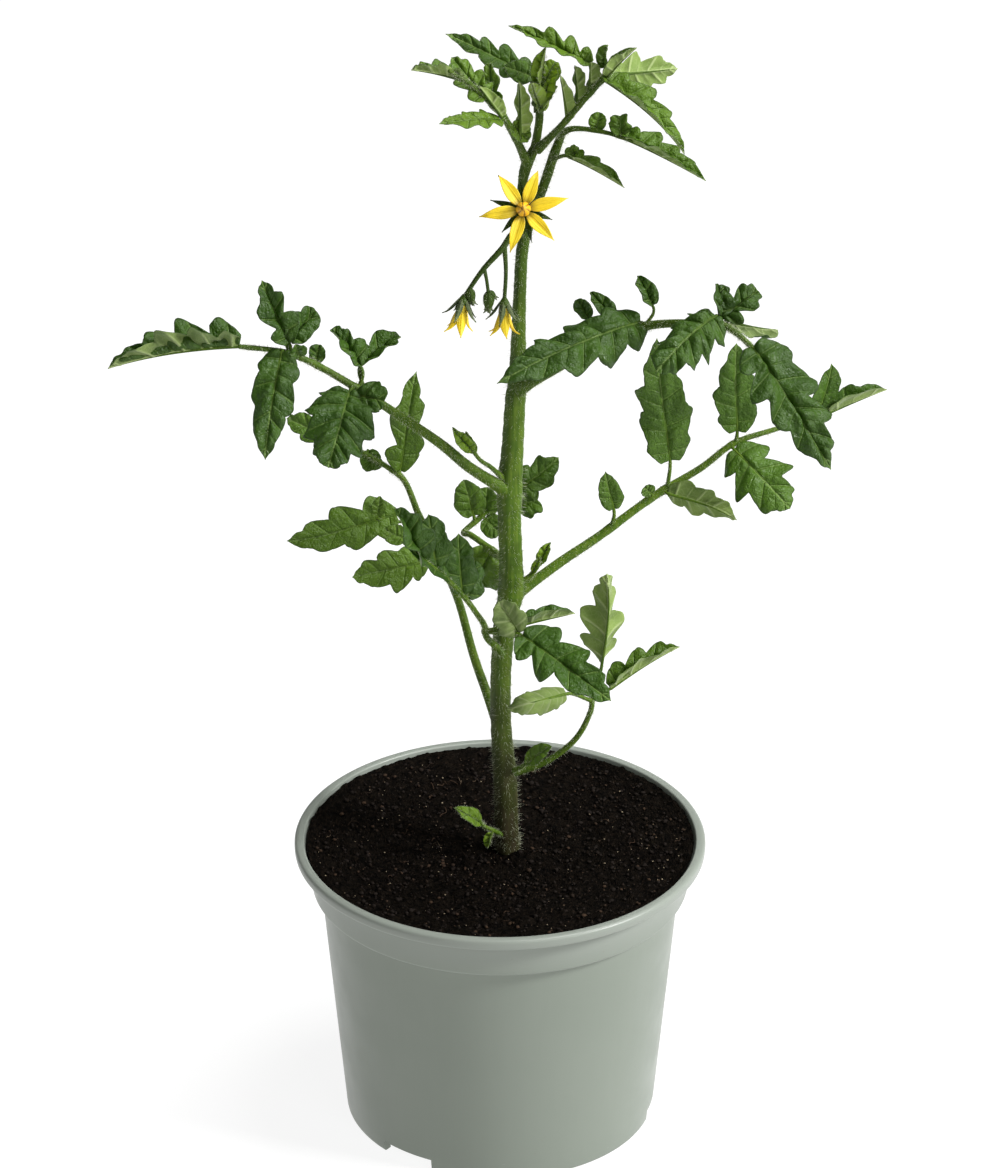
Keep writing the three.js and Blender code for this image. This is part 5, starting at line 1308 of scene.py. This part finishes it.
def truss_piece(finishes):
    """The flower truss: hairy stalks, calyces with spread sepals, and closed buds."""
    draw = np.random.default_rng(31)
    skin = Skin()
    for places, diameters in TRUSS["stalks"]:
        line, radii = tapered(places, diameters, 16)
        add_tube(skin, line, radii, 18, STALK, ribs=3, rib_depth=0.04, dark=1.0)
        add_hairs(skin, line, radii, "truss", HAIR, draw)
    calyces = [(OPEN_FLOWER["calyx_centre"], OPEN_FLOWER["axis"], OPEN_FLOWER)]
    for flower in HALF_OPEN["flowers"]:
        calyces.append((flower["centre"], flower["axis"], HALF_OPEN))
    for centre, axis, kind in calyces:
        line, radii = add_turned(skin, centre, axis, kind["cup"], 24, STALK, 5, 0.06, dark=0.8)
        add_hairs(skin, line, radii, "calyx", HAIR, draw)
        add_whorl(skin, centre, axis, kind["sepals"], draw, (UPPER, LOWER), hairy=True)
    for bud in TRUSS["buds"]:
        add_bud(skin, **bud, draw=draw)
    skin.piece("flower_truss_fine", ("flower_truss",), "truss", finishes)


# ------------------------------------------------------------------ pot and soil

POT = {
    "rim": 75, "height": 111, "foot": 56.8, "shoulder": 65.3, "collar_low": 93.3, "collar": 68.6,
    "collar_top": 70, "collar_high": 105.4, "lip_foot": 71.3, "lip_low": 107, "lip_inside": 71.4,
    "lip_seat": (70.9, 108.6), "collar_inside": (68.2, 105), "step": 1.6, "wall": 1.7, "floor": 2.4,
    "foot_ring": 5, "sides": 240,
}
NOTCH = {"count": 3, "first": -37, "width": 22, "depth": 12, "height": 4.6}
DRAIN = {"count": 5, "radius": 3.2, "circle": 34, "heights": (1, 12), "sides": 32}
SHARP_ANGLE = 32                     # degrees past which the pot's edges stay sharp
POT_ROUNDING = {0: 1.2, 1: 0.7, 2: 0.9, 3: 0.8, 4: 0.4, 5: 0.8, 6: 1.7, 7: 0.6, 8: 0.8, 9: 1, 10: 0.8,
                11: 1, 12: 1.5}      # what each corner of the outline loses, from the foot up and in
GAP = 0.3                            # left between two pieces that touch
ON_AXIS = 0.02                       # radius of what closes on the axis


def rounded(outline, cuts, steps=5):
    """A closed outline with each listed corner replaced by an arc-like curve."""
    outline = [np.array(p, float) for p in outline]
    points = []
    for index, corner in enumerate(outline):
        cut = cuts.get(index, 0)
        if not cut:
            points.append(corner)
            continue
        before = unit(outline[index - 1] - corner) * cut
        after = unit(outline[(index + 1) % len(outline)] - corner) * cut
        for t in np.linspace(0, 1, steps):
            points.append(corner + before * (1 - t) ** 2 + after * t**2)
    return np.array(points)


def finer(outline, longest):
    """Splits long straight stretches of a closed outline."""
    points = []
    for here, ahead in zip(outline, np.roll(outline, -1, axis=0)):
        parts = max(1, math.ceil(np.linalg.norm(ahead - here) / longest))
        points.extend(here + (ahead - here) * step / parts for step in range(parts))
    return np.array(points)


def pot_outline():
    """Half of the pot's section, as [radius, height] pairs, closed on the axis."""
    p = POT
    floor = p["foot_ring"] + p["floor"]
    outside = [
        (p["foot"], 0), (p["shoulder"], p["collar_low"] - p["step"]), (p["collar"], p["collar_low"]),
        (p["collar_top"], p["collar_high"]), (p["lip_foot"], p["lip_low"]),
        (p["rim"] - 0.3, p["lip_low"] + 0.1), (p["rim"], p["height"]), (p["lip_inside"], p["height"]),
    ]
    inside = [
        p["lip_seat"], p["collar_inside"], (p["collar"] - p["wall"], p["collar_low"] + p["wall"] / 2),
        (p["shoulder"] - p["wall"], p["collar_low"] - 1.5 * p["step"]),
        (p["foot"] - p["wall"] + 0.5, floor), (ON_AXIS, floor), (ON_AXIS, p["foot_ring"]),
        (p["foot"] - p["wall"] - 1, p["foot_ring"]), (p["foot"] - 2 * p["wall"], 0),
    ]
    return finer(rounded(outside + inside, POT_ROUNDING), 6.0)


def turned_mesh(name, outline, sides):
    """A mesh turned about +Z from a closed outline."""
    turn = np.linspace(0, 2 * math.pi, sides, endpoint=False)
    points = np.stack([outline[:, :1] * np.cos(turn), outline[:, :1] * np.sin(turn),
                       np.broadcast_to(outline[:, 1:], (len(outline), sides))], -1)
    faces = grid_faces(len(outline), sides, closed=True, looped=True)
    mesh = bpy.data.meshes.new(name)
    mesh.from_pydata((points.reshape(-1, 3) * MM).tolist(), [], faces.tolist())
    return mesh


def block_mesh(width, depth, height):
    """A block centred on the ground."""
    corners = [(x * width / 2, y * depth / 2, z * height) for z in (-1, 1) for y in (-1, 1) for x in (-1, 1)]
    faces = [(0, 2, 3, 1), (4, 5, 7, 6), (0, 1, 5, 4), (2, 6, 7, 3), (0, 4, 6, 2), (1, 3, 7, 5)]
    mesh = bpy.data.meshes.new("notch")
    mesh.from_pydata([tuple(c * MM for c in corner) for corner in corners], [], faces)
    return mesh


def pot_cutters():
    """The notches through the foot ring and the drainage holes in the floor."""
    cutters = []
    foot, circle = POT["foot"], DRAIN["circle"]
    width = 2 * foot * math.sin(math.radians(NOTCH["width"] / 2))
    for index in range(NOTCH["count"]):
        turn = math.radians(NOTCH["first"] + 360 * index / NOTCH["count"])
        notch = linked("notch", block_mesh(width, NOTCH["depth"], NOTCH["height"]))
        notch.location = Vector((foot * math.sin(turn), -foot * math.cos(turn), 0)) * MM
        notch.rotation_euler = (0, 0, turn)
        cutters.append(notch)
    low, high = DRAIN["heights"]
    outline = np.array([(ON_AXIS, low), (DRAIN["radius"], low), (DRAIN["radius"], high), (ON_AXIS, high)])
    for index in range(DRAIN["count"]):
        turn = math.radians(360 * (index + 0.5) / DRAIN["count"])
        drain = linked("drain", turned_mesh("drain", outline, DRAIN["sides"]))
        drain.location = Vector((circle * math.cos(turn), circle * math.sin(turn), 0)) * MM
        cutters.append(drain)
    return cutters


def pot_piece(finish):
    """The moulded pot with its rolled lip, collar, foot notches and drainage holes."""
    pot = linked("pot_fine", turned_mesh("pot_fine", pot_outline(), POT["sides"]))
    cutters = pot_cutters()
    for tool in cutters:
        cut = pot.modifiers.new("cut", "BOOLEAN")
        cut.operation = "DIFFERENCE"
        cut.solver = "EXACT"
        cut.object = tool
    bpy.context.view_layer.update()
    shaped = bpy.data.meshes.new_from_object(pot.evaluated_get(bpy.context.evaluated_depsgraph_get()))
    pot.modifiers.clear()
    pot.data = shaped
    for tool in cutters:
        bpy.data.objects.remove(tool)
    shaped.materials.clear()
    shaped.materials.append(finish)
    shaped.shade_smooth()
    shaped.set_sharp_from_angle(angle=math.radians(SHARP_ANGLE))
    settle(pot, ("pot",))


# The soil's top is higher at the pot's wall, with waves, two sizes of crumbs and a fine grain on it.
SOIL = {
    "clearance": 0.5, "surface": 105.4, "dish": 3.3, "unevenness": 0.8, "grain": 0.1, "edge_rise": 0.9,
    "rings": 170, "sides": 460, "reach": 70,
}
CRUMBS = [
    {"count": 700, "sizes": (1.0, 3.0), "steepness": 0.3},
    {"count": 3600, "sizes": (0.45, 1.2), "steepness": 0.5},
]


def soil_height(x, y):
    """Height of the soil's waved surface, without its crumbs."""
    wave = np.sin(x * 0.11 + 0.6) * np.cos(y * 0.13) + 0.5 * np.sin(x * 0.29 + y * 0.23)
    outward = np.minimum(np.hypot(x, y) / POT["lip_seat"][0], 1) ** 2
    return SOIL["surface"] + SOIL["dish"] * outward + SOIL["unevenness"] * (1 - outward) * wave / 1.5


def crumbs(x, y, draw, count, sizes, steepness):
    """Rounded bumps of random size at random places, for the broken-up surface."""
    total = np.zeros_like(x)
    places = draw.uniform(-SOIL["reach"], SOIL["reach"], (count, 2))
    for (a, b), wide in zip(places, draw.uniform(*sizes, count)):
        near = ((x - a) ** 2 + (y - b) ** 2) / wide**2
        total = np.maximum(total, steepness * wide * np.clip(1 - near, 0, 1) ** 0.6)
    return total


def soil_bed_piece(finish):
    """The soil: a filled body with a crumbly, uneven top."""
    draw = np.random.default_rng(41)
    p = POT
    inward = p["wall"] + GAP + SOIL["clearance"]
    floor = p["foot_ring"] + p["floor"] + GAP
    edge = p["lip_seat"][0] - GAP
    radius = edge * np.sqrt(np.linspace(1, 0.0002, SOIL["rings"]))[:, None] ** 1.25
    turn = np.linspace(0, 2 * math.pi, SOIL["sides"], endpoint=False)[None]
    x, y = radius * np.cos(turn), radius * np.sin(turn)
    top = soil_height(x, y)
    for kind in CRUMBS:
        top = top + crumbs(x, y, draw, **kind)
    top = top + draw.normal(0, SOIL["grain"], x.shape) + SOIL["edge_rise"] * ease(radius / edge, 0.93, 1.0)
    walls = [
        (0.05, floor), (p["foot"] - inward + 0.5, floor),
        (p["shoulder"] - inward, p["collar_low"] - 2 * p["step"]),
        (p["collar"] - inward, p["collar_low"] + p["step"]),
        (p["collar_inside"][0] - GAP - SOIL["clearance"], p["collar_inside"][1]),
    ]
    low = np.array([[(r * math.cos(t), r * math.sin(t), z) for t in turn[0]] for r, z in walls])
    tone = np.zeros((len(walls) + SOIL["rings"], SOIL["sides"]))
    tone[len(walls):] = ease(draw.random(x.size), 0.8, 1.0).reshape(x.shape) * 0.6
    skin = Skin()
    skin.add_rings(np.concatenate([low, np.stack([x, y, top], -1)]), 0, tone=tone)
    skin.piece("soil_bed", ("soil",), "soil", [finish])


def lump(draw, size, flat):
    """A small angular lump, as points and triangles."""
    golden = (1 + math.sqrt(5)) / 2
    points = np.array([(-1, golden, 0), (1, golden, 0), (-1, -golden, 0), (1, -golden, 0), (0, -1, golden),
                       (0, 1, golden), (0, -1, -golden), (0, 1, -golden), (golden, 0, -1), (golden, 0, 1),
                       (-golden, 0, -1), (-golden, 0, 1)]) / 1.9
    faces = [(0, 11, 5), (0, 5, 1), (0, 1, 7), (0, 7, 10), (0, 10, 11), (1, 5, 9), (5, 11, 4), (11, 10, 2),
             (10, 7, 6), (7, 1, 8), (3, 9, 4), (3, 4, 2), (3, 2, 6), (3, 6, 8), (3, 8, 9), (4, 9, 5),
             (2, 4, 11), (6, 2, 10), (8, 6, 7), (9, 8, 1)]
    stretch = draw.uniform(0.6, 1.3, 3) * (1, 1, flat)
    points = points * size / 2 * stretch * draw.uniform(0.8, 1.2, (12, 1))
    turn = draw.uniform(0, 2 * math.pi)
    spin = np.array([[math.cos(turn), -math.sin(turn), 0], [math.sin(turn), math.cos(turn), 0], [0, 0, 1]])
    return points @ spin.T, faces


LUMPS = {"count": 2300, "reach": 68, "least": 0.45, "spread": 1.5, "flat": 0.7}
GRIT = {"count": 230, "reach": 68, "sizes": (0.25, 0.75), "flat": 0.6}
FIBRES = {"count": 60, "reach": 64, "lengths": (1.5, 5.5), "radii": (0.06, 0.16)}
STEM_ROOM = {"x": 3, "radius": 5.5}  # no lumps where the stem stands
ON_CRUMBS = 0.9                      # how far the crumbs' tops are above the waved surface


def soil_place(draw, most):
    """A random place on the soil, within a distance of its middle."""
    turn, radius = draw.uniform(0, 2 * math.pi), most * math.sqrt(draw.random())
    return radius * math.cos(turn), radius * math.sin(turn)


def soil_litter_piece(finish):
    """Crumbs, bits of bark, pale grit and fibres on the soil."""
    draw = np.random.default_rng(43)
    skin = Skin()
    for _ in range(LUMPS["count"]):
        x, y = soil_place(draw, LUMPS["reach"])
        if math.hypot(x - STEM_ROOM["x"], y) < STEM_ROOM["radius"]:
            continue
        size = LUMPS["least"] + LUMPS["spread"] * draw.random() ** 2.2
        points, faces = lump(draw, size, LUMPS["flat"])
        points = points + (x, y, soil_height(x, y) + ON_CRUMBS / 2 + size * 0.12)
        skin.add(points, faces, 0, tone=0.62 * draw.random() ** 3)
    for _ in range(GRIT["count"]):
        x, y = soil_place(draw, GRIT["reach"])
        points, faces = lump(draw, draw.uniform(*GRIT["sizes"]), GRIT["flat"])
        points = points + (x, y, soil_height(x, y) + ON_CRUMBS)
        skin.add(points, faces, 0, tone=draw.uniform(0.68, 1.0))
    for _ in range(FIBRES["count"]):
        x, y = soil_place(draw, FIBRES["reach"])
        reach, turn = draw.uniform(*FIBRES["lengths"]), draw.uniform(0, 2 * math.pi)
        ahead = np.array([math.cos(turn), math.sin(turn), 0])
        side = np.array([-math.sin(turn), math.cos(turn), 0])
        start = np.array([x, y, soil_height(x, y) + ON_CRUMBS])
        places = [start + ahead * reach * t + side * draw.normal(0, 0.1) * reach
                  + (0, 0, draw.uniform(-0.5, 0.9)) for t in (0, 0.35, 0.7, 1)]
        line = along_route(places, np.linspace(0, 1, 10))
        add_tube(skin, line, draw.uniform(*FIBRES["radii"]), 5, 0, tone=draw.uniform(0.2, 0.8))
    skin.piece("soil_litter", ("soil",), "soil", [finish])


# ------------------------------------------------------------------ putting it together

def floor_piece(finish):
    """The floor that the pot stands on."""
    half = FLOOR_SIZE / 2 * MM
    corners = [(-half, -half, 0), (half, -half, 0), (half, half, 0), (-half, half, 0)]
    mesh = bpy.data.meshes.new("floor")
    mesh.from_pydata(corners, [], [(0, 1, 2, 3)])
    mesh.materials.append(finish)
    floor = linked("floor", mesh)
    floor.location = (0, 0, -FLOOR_DROP * MM)


set_camera()
set_sky()
add_light("key", KEY_LIGHT)
add_light("fill", FILL_LIGHT)
add_light("top", TOP_LIGHT)
floor_piece(floor_finish())

green = [stalk_finish(), hair_finish(), leaf_finish(), under_finish()]
petal = petal_finish()

pot_piece(pot_finish())
soil_bed_piece(soil_finish())
soil_litter_piece(litter_finish())
stem_piece(green[:2])
for number, (name, leaf) in enumerate(LEAVES.items()):
    leaf_piece(name, leaf, 100 + number, green)
open_flower_piece([petal])
anther_piece([anther_finish()])
for number, flower in enumerate(HALF_OPEN["flowers"]):
    hanging_flower_piece(flower, 60 + number, [petal])
truss_piece(green)
